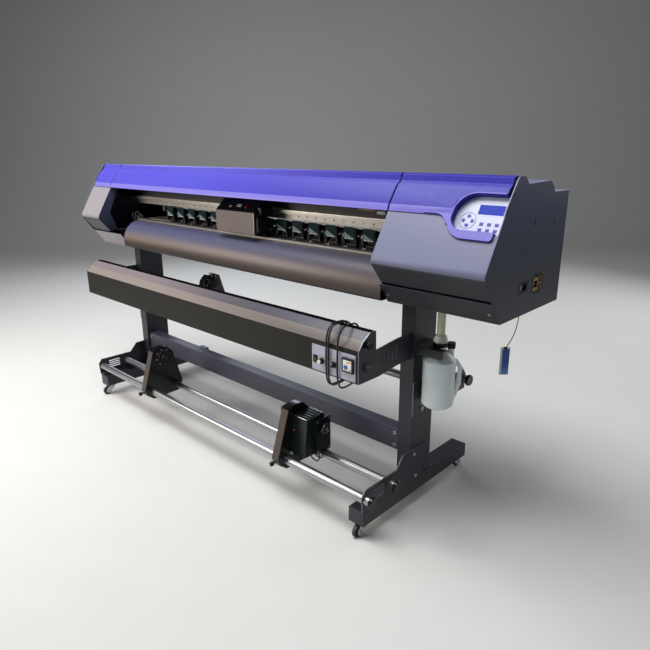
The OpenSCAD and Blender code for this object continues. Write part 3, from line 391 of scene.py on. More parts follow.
def piece(name, bm, materials, body, bevel=0.0, angle=35, segments=2, replaces=(), from_cad=False,
          clamp=True, place=Matrix()):
    """Makes a bmesh into a finished piece: put in place by a matrix, its edges rounded by bevel mm and
    its flat faces flat. A bmesh from a node is in metres and in place already."""
    if not from_cad:
        bmesh.ops.transform(bm, matrix=place, verts=bm.verts)
        bmesh.ops.recalc_face_normals(bm, faces=bm.faces)
        bmesh.ops.scale(bm, vec=(MM, MM, MM), verts=bm.verts)
    mesh = bpy.data.meshes.new(name)
    bm.to_mesh(mesh)
    bm.free()
    obj = linked(name, mesh)
    for made in materials if isinstance(materials, list) else [materials]:
        mesh.materials.append(made)
    mesh.shade_smooth()
    if bevel:
        rounding = obj.modifiers.new("rounding", "BEVEL")
        rounding.width, rounding.segments = bevel * MM, segments
        rounding.limit_method, rounding.angle_limit = "ANGLE", math.radians(angle)
        rounding.use_clamp_overlap = clamp
        settle(obj)
        obj.data.set_sharp_from_angle(angle=math.radians(50))
        obj.modifiers.new("flat_faces", "WEIGHTED_NORMAL").keep_sharp = True
        settle(obj)
    else:
        mesh.set_sharp_from_angle(angle=math.radians(angle))
    obj.data.name = name
    return tie(obj, body, replaces)


BODY_OF = {n: b for b, members in frame["record"]["behaviour"]["bodies"].items() for n in members}


def box_of(name):
    """A node's lowest and highest corners, in millimetres."""
    low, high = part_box(name)
    return Vector(low) / MM, Vector(high) / MM


def cad_copy(name):
    """A copy of a node's mesh with its loose triangles joined and its flat faces whole."""
    bm = bmesh.new()
    bm.from_mesh(frame["nodes"][name].data)
    bmesh.ops.remove_doubles(bm, verts=bm.verts, dist=0.02 * MM)
    bmesh.ops.dissolve_limit(bm, angle_limit=math.radians(0.6), verts=bm.verts, edges=bm.edges)
    bm.normal_update()
    return bm


def solids(bm):
    """The separate solids in a bmesh, as lists of faces."""
    seen = set()
    found = []
    for first in bm.faces:
        todo = [] if first in seen else [first]
        seen.add(first)
        group = []
        while todo:
            face = todo.pop()
            group.append(face)
            for other in (f for e in face.edges for f in e.link_faces if f not in seen):
                seen.add(other)
                todo.append(other)
        if group:
            found.append(group)
    return found


def extent(faces):
    """Middle and size of the box round some faces, in millimetres."""
    points = [v.co for f in faces for v in f.verts]
    low = Vector([min(p[i] for p in points) for i in range(3)])
    high = Vector([max(p[i] for p in points) for i in range(3)])
    return (low + high) / 2 / MM, (high - low) / MM


def dressed(name, materials, bevel=1.0, by_solid=None, by_face=None, angle=30, segments=2, clamp=True):
    """Stands for a node with its own shape, its edges rounded by bevel mm. by_solid chooses a material
    for each solid from its middle and size, and by_face for each face from its middle and normal;
    the choice is a place in the list of materials, or True for the second one."""
    bm = cad_copy(name)
    if by_solid:
        for group in solids(bm):
            index = int(by_solid(*extent(group)))
            for face in group:
                face.material_index = index
    if by_face:
        for face in bm.faces:
            face.material_index = int(by_face(face.calc_center_median() / MM, face.normal))
    return piece(name + "_finished", bm, materials, BODY_OF[name], bevel, angle, segments,
                 (name,), True, clamp)


# Repeated things: points in an object's mesh, on which a node tree puts one shape each

def tree_with(name, sockets):
    """A node tree with a mesh going in and out, and named inputs."""
    tree = bpy.data.node_groups.new(name, "GeometryNodeTree")
    tree.interface.new_socket("Geometry", in_out="INPUT", socket_type="NodeSocketGeometry")
    for title, kind in [("Direction", "Vector"), ("Material", "Material")] + sockets:
        tree.interface.new_socket(title, in_out="INPUT", socket_type="NodeSocket" + kind)
    tree.interface.new_socket("Geometry", in_out="OUTPUT", socket_type="NodeSocketGeometry")
    return tree, node(tree, "NodeGroupInput").outputs


def tree_end(tree, given, shape):
    """Puts the shape on every point, turned from +Z to Direction, as a plain mesh in its material."""
    turned = node(tree, "FunctionNodeAlignRotationToVector", {"Vector": given["Direction"]}, axis="Z")
    placed = node(tree, "GeometryNodeInstanceOnPoints", {
        "Points": given["Geometry"], "Instance": shape, "Rotation": turned.outputs["Rotation"]})
    real = node(tree, "GeometryNodeRealizeInstances", {"Geometry": placed.outputs["Instances"]})
    painted = node(tree, "GeometryNodeSetMaterial", {
        "Geometry": real.outputs["Geometry"], "Material": given["Material"]})
    node(tree, "NodeGroupOutput", {"Geometry": painted.outputs["Geometry"]})
    return tree


def screw_tree():
    """A cap screw head with a socket sunk in its top; the point is in the middle of the head."""
    tree, given = tree_with("socket_screws", [("Radius", "Float"), ("Height", "Float")])
    head = node(tree, "GeometryNodeMeshCylinder", {
        "Vertices": 18, "Radius": given["Radius"], "Depth": given["Height"]}, fill_type="NGON")
    rim = node(tree, "GeometryNodeExtrudeMesh", {
        "Mesh": head.outputs["Mesh"], "Selection": head.outputs["Top"], "Offset Scale": 0.0})
    socket = node(tree, "GeometryNodeScaleElements", {
        "Geometry": rim.outputs["Mesh"], "Selection": rim.outputs["Top"], "Scale": 0.55})
    deep = node(tree, "ShaderNodeMath", {0: given["Height"], 1: -0.5}, operation="MULTIPLY")
    sunk = node(tree, "GeometryNodeExtrudeMesh", {
        "Mesh": socket.outputs["Geometry"], "Selection": rim.outputs["Top"],
        "Offset Scale": deep.outputs["Value"]})
    return tree_end(tree, given, sunk.outputs["Mesh"])


def block_tree():
    """A block of one size, its height along the direction."""
    tree, given = tree_with("small_blocks", [("Size", "Vector")])
    block = node(tree, "GeometryNodeMeshCube", {"Size": given["Size"]})
    return tree_end(tree, given, block.outputs["Mesh"])


def round_tree():
    """A short round piece with a narrower step on top, as a button, roller or plug."""
    tree, given = tree_with("stepped_rounds", [("Radius", "Float"), ("Height", "Float"), ("Step", "Float")])
    low = node(tree, "GeometryNodeMeshCylinder", {
        "Vertices": 20, "Radius": given["Radius"], "Depth": given["Height"]}, fill_type="NGON")
    top = node(tree, "GeometryNodeExtrudeMesh", {
        "Mesh": low.outputs["Mesh"], "Selection": low.outputs["Top"], "Offset Scale": given["Step"]})
    small = node(tree, "GeometryNodeScaleElements", {
        "Geometry": top.outputs["Mesh"], "Selection": top.outputs["Top"], "Scale": 0.72})
    return tree_end(tree, given, small.outputs["Geometry"])


SCREWS, BLOCKS, ROUNDS = screw_tree(), block_tree(), round_tree()


def repeated(name, tree, points, material, body, slot, direction=Z, replaces=(), **sizes):
    """One shape of a tree on every point, as one plain mesh; points and sizes are in millimetres."""
    mesh = bpy.data.meshes.new(name)
    mesh.from_pydata([Vector(p) * MM for p in points], [], [])
    obj = linked(name, mesh)
    maker = obj.modifiers.new("maker", "NODES")
    maker.node_group = tree
    values = {"Direction": tuple(direction), "Material": material}
    values.update({n: tuple(c * MM for c in v) if isinstance(v, tuple) else v * MM for n, v in sizes.items()})
    for item in tree.interface.items_tree:
        if item.in_out == "INPUT" and item.name in values:
            maker[item.identifier] = values[item.name]
    settle(obj)
    obj.data.shade_smooth()
    obj.data.set_sharp_from_angle(angle=math.radians(35))
    return tie(obj, body, replaces)


def screws(name, points, direction, radius, height, body="stand", material=zinc):
    return repeated(name, SCREWS, points, material, body, "steel_screws", direction, Radius=radius,
                    Height=height)


def rounds(name, points, direction, radius, height, step, material, body, slot, replaces=()):
    return repeated(name, ROUNDS, points, material, body, slot, direction, replaces, Radius=radius,
                    Height=height, Step=step)


def boxes(name, corners, material, body, bevel, place=Matrix()):
    """A piece made of boxes, each from its lowest to its highest corner, put in place by a matrix."""
    bm = bmesh.new()
    for low, high in corners:
        add_box(bm, low, high)
    return piece(name, bm, material, body, bevel, place=place)


def span(start, stop, count):
    """Evenly spaced numbers from start to stop."""
    return [start + (stop - start) * i / (count - 1) for i in range(count)]


# Cords first: the dryer's mains lead, wound round the dryer, and the earth lead under the cabinet.
# Their routes are in metres.

dryer_low, dryer_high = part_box("dryer_housing")
side_x = cad_box[1].x
body_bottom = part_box("base_frame")[0].z
LEAD_D = 0.007
EARTH_D = 0.004
LEAD_TURNS = 2.75
RINGS = 24
# A turn of the lead: its middle, half its depth and height, and how square it is
LOOP_Y, LOOP_UP, LOOP_DEEP, LOOP_TALL, LOOP_CORNERS = -0.346, 0.075, 0.062, 0.122, 0.56
# How far the lead moves along with each turn, and by its step: how far, from which turn, for how long
LEAD_PITCH, STEP_WIDE, STEP_FROM, STEP_LONG = 0.011, 0.034, 1.4, 0.7
gland = Vector((dryer_high.x - 0.149, -0.277, dryer_low.z + 0.084))
lead_in = [Vector((gland.x + dx, y, dryer_low.z + dz)) for dx, y, dz in [
    (0, -0.277, 0.084), (0, -0.270, 0.084), (0, -0.258, 0.081), (0, -0.246, 0.071), (0, -0.241, 0.055),
    (0, -0.241, 0.029), (0, -0.243, 0.003), (0, -0.252, -0.021), (0.001, -0.272, -0.038),
    (0.002, -0.298, -0.046)]]


def wound(turn):
    """The lead at a number of turns round the dryer, stepping along it where it crosses the controller."""
    share = min(max((turn - STEP_FROM) / STEP_LONG, 0), 1)
    step = share * share * (3 - 2 * share)
    across, over = math.sin(2 * math.pi * turn), math.cos(2 * math.pi * turn)
    return Vector((gland.x + 0.002 + LEAD_PITCH * turn + STEP_WIDE * step,
                   LOOP_Y - LOOP_DEEP * math.copysign(abs(across) ** LOOP_CORNERS, across),
                   dryer_low.z + LOOP_UP - LOOP_TALL * math.copysign(abs(over) ** LOOP_CORNERS, over)))


winding = [wound(i / RINGS) for i in range(int(RINGS * LEAD_TURNS) + 1)]
lead_tail = [winding[-1] - Z * d for d in (0.010, 0.020)]
lead_route = lead_in + winding + lead_tail
earth_route = [Vector((side_x - 0.120, y, body_bottom + dz)) for y, dz in [
    (0.196, 0), (0.196, -0.014), (0.197, -0.044), (0.196, -0.079), (0.189, -0.111), (0.172, -0.141),
    (0.146, -0.165), (0.119, -0.180), (0.109, -0.190), (0.105, -0.206), (0.105, -0.226)]]


def cord_tube(name, route, diameter, material, body, replaces):
    """A round cord along its route, and the line that it follows."""
    line = smooth_line(route, 3)
    bm = bmesh.new()
    add_tube(bm, [p / MM for p in line], diameter / 2 / MM, 12)
    return piece(name, bm, material, body, replaces=replaces), line


def plug_pieces():
    """A moulded plug with its ribbed neck and two round pins, where the lead ends."""
    top = lead_tail[-1] / MM
    bm = bmesh.new()
    neck = [(0, 5.6), (1, 6)] + [(2 + 2 * k, 6.2 + 0.35 * k - (0.8 if k % 2 else 0)) for k in range(8)]
    body = [(18, 9.4), (21, 12.6), (25, 13.9), (40, 14), (48, 13.6), (51, 12.6), (52, 11.4)]
    add_turned(bm, top, -Z, neck + body)
    shell = piece("dryer_plug_body", bm, matt_abs, "dryer", replaces=("dryer_plug",))
    bm = bmesh.new()
    for dx in (-6.4, 6.4):
        add_turned(bm, top + Vector((dx, 0, -51)), -Z, [(0, 2.2), (16, 2.2), (17.6, 1.6), (18, 0.8)], 16)
    return shell, piece("dryer_plug_pins", bm, zinc, "dryer")


TAG_WIDE, TAG_TALL = 36, 112
TAG_TURN = math.radians(43)


def earth_tag():
    """A blue tag with a pale border, clipped on the front of the earth wire's hanging end."""
    hung = Matrix.Translation(earth_route[-1] / MM + Z * 46) @ Matrix.Rotation(TAG_TURN, 4, "Z")
    hung = hung @ Matrix.Translation((0, -EARTH_D / 2 / MM - 0.5, 0))
    side = TAG_WIDE / 2
    card = [((-side, -0.4, -TAG_TALL), (side, 0.4, 0))]
    face = [((8 - side, -0.6, 2 - TAG_TALL), (side - 1, 0.6, -8))]
    clip = [((-6, -2, -8), (6, 4.5, 0))]
    return [boxes("earth_tag_card", card, white_abs, "stand", 0.2, hung),
            boxes("earth_tag_face", face, blue_film, "stand", 0.1, hung),
            boxes("earth_tag_clip", clip, matt_abs, "stand", 0.8, hung)]


lead, lead_line = cord_tube("dryer_lead", lead_route, LEAD_D, cord_rubber, "dryer",
                            ("dryer_cord",))
plug_pieces()
earth, earth_line = cord_tube("earth_wire", earth_route, EARTH_D, yellow_pvc, "stand",
                              ("earth_lead",))
earth_tag()


# Stand: box sections, slotted brackets, chromed rods and their caps

def stand():
    def is_cap(at, size):
        return size.y > 30 and size.x < 12

    for name, coat in (("legs", leg_coat), ("feet", leg_coat), ("cross_beam", slate_coat)):
        dressed(name, coat, 4, segments=3)
    # The brackets' edges and slot walls take the pale steel as a painted highlight.
    dressed("rod_brackets", [leg_coat, edge_highlight], 0.8,
            by_face=lambda at, normal: abs(normal.x) < 0.5)
    dressed("roll_rods", chrome, 0.8)
    dressed("stand_bolts", [zinc, matt_abs], 0.6, by_solid=is_cap)
    bolts = cad_copy("stand_bolts")
    bm = bmesh.new()
    for at, size in map(extent, solids(bolts)):
        if is_cap(at, size):
            end = size.x + 5
            cap = [(0, 23), (2, 25), (end - 3, 25), (end, 23.4), (end + 1, 20), (end, 16)]
            add_turned(bm, at - X * (size.x / 2 + 4), X, cap)
    rods = cad_copy("roll_rods")
    for at, size in map(extent, solids(rods)):
        add_turned(bm, at - X * (size.x / 2), -X, [(-2, 12), (0, 18), (2, 18), (4, 16), (4.4, 12)])
    piece("rod_end_caps", bm, gloss_abs, "stand")
    bolts.free()
    rods.free()
    legs_low, legs_high = box_of("legs")
    beam_low, beam_high = box_of("cross_beam")
    ends = [(x, beam_low.y, z) for x in (beam_low.x + 24, beam_high.x - 24)
            for z in (beam_low.z + 22, beam_high.z - 22)]
    screws("beam_screws", ends, -Y, 7, 7)
    tops = [(x + dx, y, legs_low.z) for x in (legs_low.x + 32, legs_high.x - 32) for dx in (-18, 18)
            for y in (-96, 96)]
    screws("foot_screws", tops, Z, 7, 7)


stand()


# Casters: plated forks, hard wheels with a rubber tread, and a nut on each end of the axle

# Outline of a fork's cheek round the hub: ahead of it, and up
CHEEK = [(50, 31), (36, 9), (14, -8), (6, -12.5), (-3, -12.5),
         (-11, -6), (-12.5, 3), (-8, 13), (3, 25), (10, 31)]


def caster(place):
    low, high = box_of("caster_wheel_" + place)
    hub = (low + high) / 2
    tread = (high.z - low.z) / 2 - 6
    fork = "caster_fork_" + place
    dressed(fork, bright_zinc, 1.0)
    dressed("caster_wheel_" + place, [matt_abs, tread_rubber], 0.8,
            by_face=lambda at, normal: (at - hub).yz.length > tread)
    ahead = 1 if "front" in place else -1
    bm = bmesh.new()
    for x in (-15.4, 14):
        add_prism(bm, [hub + Vector((x, ahead * u, w)) for u, w in CHEEK], X * 1.4)
    piece("caster_cheeks_" + place, bm, bright_zinc, BODY_OF[fork], 0.4)
    for name, out in (("left", -X), ("right", X)):
        rounds(f"axle_nut_{place}_{name}", [hub + out * 16.5], out, 6, 4, 1.2, ground_steel, BODY_OF[fork],
               "steel_screws")


for place in ("front_left", "front_right", "rear_left", "rear_right"):
    caster(place)


# Body: dark side plates, grey front sheets, and the violet covers on top

BODY_BOTTOM = body_bottom / MM
SIDE_X = side_x / MM
# Where the open bay at the left begins, and the height of the covers' lip above the body's bottom
BAY_X, LIP_UP = -1100, 395


def shells():
    # Faces along the machine take the side plates' coat, and faces that turn down take the charcoal coat as
    # painted shade.
    def sheet_faces_with_shade(at, normal):
        if abs(normal.x) > 0.9:
            return 1
        return 2 if normal.z < -0.3 else 0

    # The left cover's end face beside the lid is painted black as painted shade in the seam; faces along the
    # lower edge take the paler lip, a painted sheen.
    def cover_sheen_and_shade_faces(at, normal):
        if normal.x > 0.9 and at.x < BAY_X:
            return 2
        return normal.y < -0.84 and at.z < BODY_BOTTOM + LIP_UP

    for name in ("left_end_cover", "right_cabinet"):
        dressed(name, [cabinet_coat, side_coat, dark_coat], 0.8, by_face=sheet_faces_with_shade, angle=25, clamp=False)
    # The base's front faces that turn up, and its front at the open bay, take the paler grey coat as painted
    # light.
    dressed("base_frame", [dark_coat, cabinet_coat], 1.5,
            by_face=lambda at, normal: at.y < -200 and (normal.z > 0.7 or at.x < BAY_X))
    dressed("aprons", apron_coat, 1.0, angle=25)
    dressed("rear_cover", slate_coat, 1.5, angle=15)
    for name in ("end_top_covers", "top_lid"):
        dressed(name, [violet_abs, violet_lip, matt_abs], 1.4, by_face=cover_sheen_and_shade_faces, angle=20, segments=3,
                clamp=False)


def shell_fittings():
    """Vents, the data ports at the back of the cabinet, and screws and louvres of the rear cover."""
    rear_low, rear_high = box_of("rear_cover")
    back = rear_high.y
    # Vent slots are drawn as dark bars, standing for the shade inside them: painted shade.
    vents = [(-SIDE_X, y, BODY_BOTTOM + 70 + 11 * k) for y in (-80, 0, 80) for k in range(9)]
    repeated("left_side_vents", BLOCKS, vents, dark_coat, "stand", "dark_paint", -X, Size=(4, 58, 2.4))
    cabinet = box_of("right_cabinet")[0].x
    vents = [(cabinet + 110 + dx, back, BODY_BOTTOM + 220 + 11 * k) for dx in (0, 74) for k in range(9)]
    repeated("cabinet_rear_vents", BLOCKS, vents, dark_coat, "stand", "dark_paint", Y, Size=(58, 4, 2.4))
    plate, ports_z = back + 1.6, BODY_BOTTOM + 86
    sides = [((cabinet + 250, back, ports_z - 26), (cabinet + 380, plate, ports_z + 26))]
    boxes("port_plate", sides, matt_abs, "stand", 0.6)
    walls = ((-9, -7, -8, 8), (7, 9, -8, 8), (-7, 7, 6, 8), (-7, 7, -8, -6))
    sides = [((x + x0, plate, ports_z + z0), (x + x1, back + 4, ports_z + z1))
             for x in (cabinet + 284, cabinet + 316) for x0, x1, z0, z1 in walls]
    boxes("port_shells", sides, zinc, "stand", 0.4)
    grip = [(0, 11), (4, 11), (5, 10), (12, 9), (13, 8)]
    bm = bmesh.new()
    add_turned(bm, (cabinet + 352, plate, ports_z), Y, grip, 40, 10, 0.8)
    piece("fuse_cap", bm, gloss_abs, "stand")
    corners = [(cabinet + x, plate, ports_z + dz) for x in (257, 373) for dz in (-19, 19)]
    screws("port_screws", corners, Y, 3, 2)
    rows = [(x, back, z) for x in span(rear_low.x + 30, rear_high.x - 30, 9)
            for z in (rear_low.z + 14, rear_high.z - 58)]
    screws("rear_cover_screws", rows, Y, 4.5, 3)
    # The louvres' openings are drawn as dark bars as painted shade.
    slots = [(x + dx, back, rear_low.z + 52 + 10 * k) for x in (rear_low.x + 360, rear_high.x - 360)
             for dx in (-70, 0, 70) for k in range(7)]
    repeated("rear_louvres", BLOCKS, slots, dark_coat, "stand", "dark_paint", Y, Size=(54, 4, 3))


shells()
shell_fittings()


# Control panel: pale film, blue display, and violet keys in the recessed bay

LCD_AT, LCD_SIZE = (SIDE_X - 60, 230), (87, 33)
PAD_AT = (SIDE_X - 130, 190)
KEY_COLUMNS, KEY_ROWS = (-80, -54, -28), (182, 162)
KEY_TALL, DOME = 1.6, 1.2


def control_panel():
    dressed("control_panel", panel_film, 0.3)
    into = FACE.inverted()
    top = max((into @ (v.co / MM)).z for v in frame["nodes"]["control_panel"].data.vertices) - DOME
    middle = Vector((*LCD_AT, top))
    for name, material, margin, low, high in (("display_frame", panel_film, 5, -0.5, 0.5),
                                              ("display", lcd_glass, 0, -1, 0.9)):
        wide, tall = (side / 2 + margin for side in LCD_SIZE)
        sides = [(middle + Vector((-wide, -tall, low)), middle + Vector((wide, tall, high)))]
        boxes(name, sides, material, "stand", 0.3, FACE)
    bm = bmesh.new()
    for i in range(4):
        turn = Matrix.Translation((*PAD_AT, 0)) @ Matrix.Rotation(i * math.pi / 2, 4, "Z")
        arrow = [(10.5, -5), (17, -6.5), (22.5, 0), (17, 6.5), (10.5, 5)]
        add_prism(bm, [turn @ Vector((x, y, top)) for x, y in arrow], (0, 0, KEY_TALL))
    for x in KEY_COLUMNS:
        for s in KEY_ROWS:
            add_box(bm, (SIDE_X + x - 6, s - 5.2, top), (SIDE_X + x + 6, s + 5.2, top + KEY_TALL))
    piece("panel_keys", bm, violet_film, "stand", 0.5, place=FACE)
    bm = bmesh.new()
    add_ring(bm, (*PAD_AT, top + 0.2), Z, 27.5, 0.7)
    piece("pad_ring", bm, violet_film, "stand", place=FACE)


control_panel()


# Mains inlet and switch on the right side plate

INLET_AT = (50, BODY_BOTTOM + 94)


def mains():
    dressed("power_switch", gloss_abs, 0.8)
    dressed("power_inlet", matt_abs, 0.8)
    y, z = INLET_AT
    face = box_of("power_inlet")[1].x
    rims = ((-34, -31, -23, 23), (-1, 34, -23, 23), (-31, -1, 12, 23), (-31, -1, -23, -12))
    sides = [((face, y + y0, z + z0), (face + 0.8, y + y1, z + z1)) for y0, y1, z0, z1 in rims]
    boxes("inlet_plate", sides, amber_film, "stand", 0.3)
    bars = [(face + 1, y + dy, z + dz) for dy in (6, 13, 20, 27) for dz in (-12, 12)]
    repeated("inlet_bars", BLOCKS, bars, matt_abs, "stand", "black_plastic", X, Size=(20, 2.6, 1.2))
    sides = [((face - 18, y + dy - 2, z - 4), (face - 4, y + dy + 2, z + 4)) for dy in (-22, -16, -10)]
    boxes("inlet_blades", sides, zinc, "stand", 0.6)
    corners = [(face, y + dy, z + dz) for dy in (-41, 41) for dz in (-31, 31)]
    screws("inlet_screws", corners, X, 3, 2)


mains()


# Print mechanism: rail, gantry, carriage, rollers

# Seats for screws along the rail, and the depth of the gantry beam
RAIL_SEATS, GANTRY_DEEP = 46, 82


def rail():
    dressed("gantry_beam", black_coat, 1.5)
    dressed("guide_rail", aluminium, 0.8)
    dressed("drive_belt", belt_rubber, 0.3)
    dressed("motor_pulley", aluminium, 0.5)
    dressed("drive_motors", black_coat, 1.5)
    low, high = box_of("guide_rail")
    seats = [(x, low.y + 8, high.z - 24) for x in span(low.x + 60, high.x - 60, RAIL_SEATS)]
    screws("rail_screws", seats[::2], -Y, 4, 4)
    rounds("rail_plugs", seats[1::2], -Y, 3.4, 1.4, 0.5, matt_abs, "stand", "black_plastic")
    front = box_of("gantry_beam")[1].y - GANTRY_DEEP
    for name, material, x0, x1, z in (("gantry_strip", amber_film, 611, 695, 1241),
                                      ("gantry_mark", white_abs, 705, 745, 1230)):
        boxes(name, [((x0, front - 1.2, z - 6), (x1, front, z + 6))], material, "stand", 0.3)


def carriage():
    low, high = box_of("carriage")
    body = "print_carriage"
    slope_low, slope_high = Vector((0, low.y, high.z - 50)), Vector((0, low.y + 53, high.z))
    dressed("carriage", [matt_abs, gloss_abs], 2.0,
            by_face=lambda at, normal: normal.y < -0.3 and normal.z > 0.3)
    for name, x0, x1, out, material, slot in [
            ("carriage_front_plate", low.x + 1, high.x - 7, 1.4, taupe_coat, "dark_paint"),
            ("carriage_edge_strip", high.x - 6, high.x - 1, 1.8, aluminium, "bare_aluminium")]:
        boxes(name, [((x0, low.y - out, low.z + 2), (x1, low.y, slope_low.z - 1))], material, body, 0.6)
    lean = math.atan2(slope_high.z - slope_low.z, slope_high.y - slope_low.y)
    on_slope = Matrix.Translation(slope_low) @ Matrix.Rotation(lean, 4, "X")
    for name, material, marks in [
            ("carriage_lamp", amber_film, [(-66, 27, 20, 12)]),
            ("carriage_bars", white_abs, [(-7, 39, 30, 3.5), (-7, 30, 30, 3.5)]),
            ("carriage_signal", red_lens, [(42, 30, 7, 16), (52, 24, 9, 5)])]:
        sides = [((x - wide / 2, s - tall / 2, -0.5), (x + wide / 2, s + tall / 2, 0.8))
                 for x, s, wide, tall in marks]
        boxes(name, sides, material, body, 0.3, on_slope)
    bm = bmesh.new()
    add_box(bm, (high.x, -196, 1112), (high.x + 16, -128, 1176))
    add_box(bm, (high.x, -182, 1190), (high.x + 24, -140, 1222))
    for y in span(-188, -136, 5):
        add_rod(bm, (high.x + 8, y, 1176), (high.x + 8, y, 1196), 3.4, 0.6, 12)
    piece("carriage_side_gear", bm, matt_abs, body, 1.2)
    tops = [(high.x + 16, y, z) for y in (-188, -136) for z in (1122, 1166)]
    screws("carriage_side_screws", tops, X, 3.6, 3, body)


# The arms: how many, from each end of their shaft to the first one, and half the width of a guard.
# A guard has four corners behind and five in front, one of them part way up its left edge.
PINCH_N, ARM_END, GUARD = 15, 126, 27
GUARD_FACES = ((3, 2, 1, 0), (4, 5, 6, 8), (8, 6, 7), (0, 1, 5, 4), (1, 2, 6, 5), (2, 3, 7, 6),
               (3, 0, 4, 8, 7))


def rollers():
    dressed("grit_roller", ground_steel, 0.5)
    dressed("pinch_arms", gloss_abs, 0)
    low, high = box_of("pinch_arms")
    places = span(low.x + ARM_END, high.x - ARM_END, PINCH_N)
    front, top, bottom = low.y, high.z + 3, high.z - 45
    bm = bmesh.new()
    for x in places:
        left, right, near = x - GUARD, x + GUARD, front - 1.6
        corners = [bm.verts.new(p) for p in (
            (left, front, top), (right, front, top), (right, front, bottom), (left, front, bottom),
            (left, near, top), (right, near, top), (right, near, bottom), (left, near - 0.8, bottom),
            (left, near, top - 22))]
        for outline in GUARD_FACES:
            face = bm.faces.new([corners[i] for i in outline])
            # The triangle on each guard takes the pale glint, a painted reflection.
            face.material_index = int(len(outline) == 3)
    piece("pinch_guards", bm, [smoked, smoked_glint], "pinch_bar", angle=3)
    lugs = [(x + dx, front - 1.2, bottom + 1) for x in places for dx in (-16, 0, 16)]
    repeated("guard_lugs", BLOCKS, lugs, white_abs, "pinch_bar", "gloss_black", -Y, Size=(9, 4, 2.4))
    roller_low, roller_high = box_of("pinch_rollers")
    axis = (roller_low + roller_high) / 2
    rings = [(x + dx, axis.y, axis.z) for x in places for dx in (-17, 0, 17)]
    rounds("pinch_rings", rings, X, 10, 7, 1, tread_rubber, "pinch_wheels", "roller_rubber")
    cores = [(x, axis.y, axis.z) for x in places]
    rounds("pinch_cores", cores, X, 8, 49, 0.5, matt_abs, "pinch_wheels", "roller_rubber", ("pinch_rollers",))


def bed():
    low, high = box_of("platen")
    dressed("platen", [platen_face, aluminium], 0.8, by_face=lambda at, normal: normal.y < -0.5)
    # The holes are drawn as thin black discs, standing for the shade inside them: painted shade.
    holes = [(x, y, high.z) for x in span(low.x + 30, high.x - 30, 62) for y in (low.y + 12, low.y + 26)]
    rounds("suction_holes", holes, Z, 2.2, 0.4, 0.1, matt_abs, "stand", "bare_aluminium")
    dressed("capping_station", matt_abs, 1.0)


def left_bay_lines():
    """Ink lines and screws in the open bay at the left."""
    bm = bmesh.new()
    for x, rise, wide in ((-1176, 52, 11), (-1132, 62, 17), (-1094, 50, 9)):
        foot = Vector((x, -70, BODY_BOTTOM + 106))
        loop = [foot + Vector((wide * math.cos(a), 4 * math.cos(a), rise + 14 * math.sin(a)))
                for a in span(-math.pi / 2, 1.5 * math.pi, 13)]
        add_tube(bm, smooth_line([foot, foot + Z * (rise / 2)] + loop + [loop[-1] + Vector((22, 8, -10)),
                                 loop[-1] + Vector((26, 12, -rise + 14))], 4), 3.6)
    piece("left_bay_hoses", bm, pale_rubber, "stand")
    wall = box_of("left_end_cover")[1].x
    screws("left_bay_screws", [(wall, -172, 1290), (wall, -140, 1322), (wall, -205, 1258)], X, 5, 3.5)


rail()
carriage()
rollers()
bed()
left_bay_lines()


# Waste ink: milky jug in its holder under the hose

# Heights of the hose's collar and of the jug's cap, and the radius of the jug's neck
COLLAR_TALL, CAP_TALL, NECK_R = 27, 22.5, 25


def waste():
    dressed("bottle_holder", dark_coat, 1.5)
    low, high = box_of("waste_hose")
    neck = (low + high) / 2
    top = box_of("waste_bottle")[1].z
    collar = low.z + COLLAR_TALL
    dressed("waste_hose", [pvc_hose, white_abs], 1.5, by_face=lambda at, normal: at.z < collar)

    def bottle_faces(at, normal):
        return at.z > top - CAP_TALL and (at - neck).xy.length > NECK_R

    dressed("waste_bottle", [hdpe, matt_abs], 3.0, by_face=bottle_faces, segments=3)
    low, high = box_of("bottle_holder")
    screws("holder_screws", [(low.x + 14, y, high.z) for y in (-52, 32)], Z, 4, 3)


waste()


# Dryer: enamelled trough with its panel, knobs and controller

HEAT_AT, FAN_AT, ROCKER_AT = (52, 44), (113, 44), (18, 45)
SCALE_R = 20


def panel_spot(x, z, out=0.0):
    """A point on the dryer's panel, measured from its lower left corner."""
    return box_of("dryer_panel")[0] + Vector((x, -out, z))


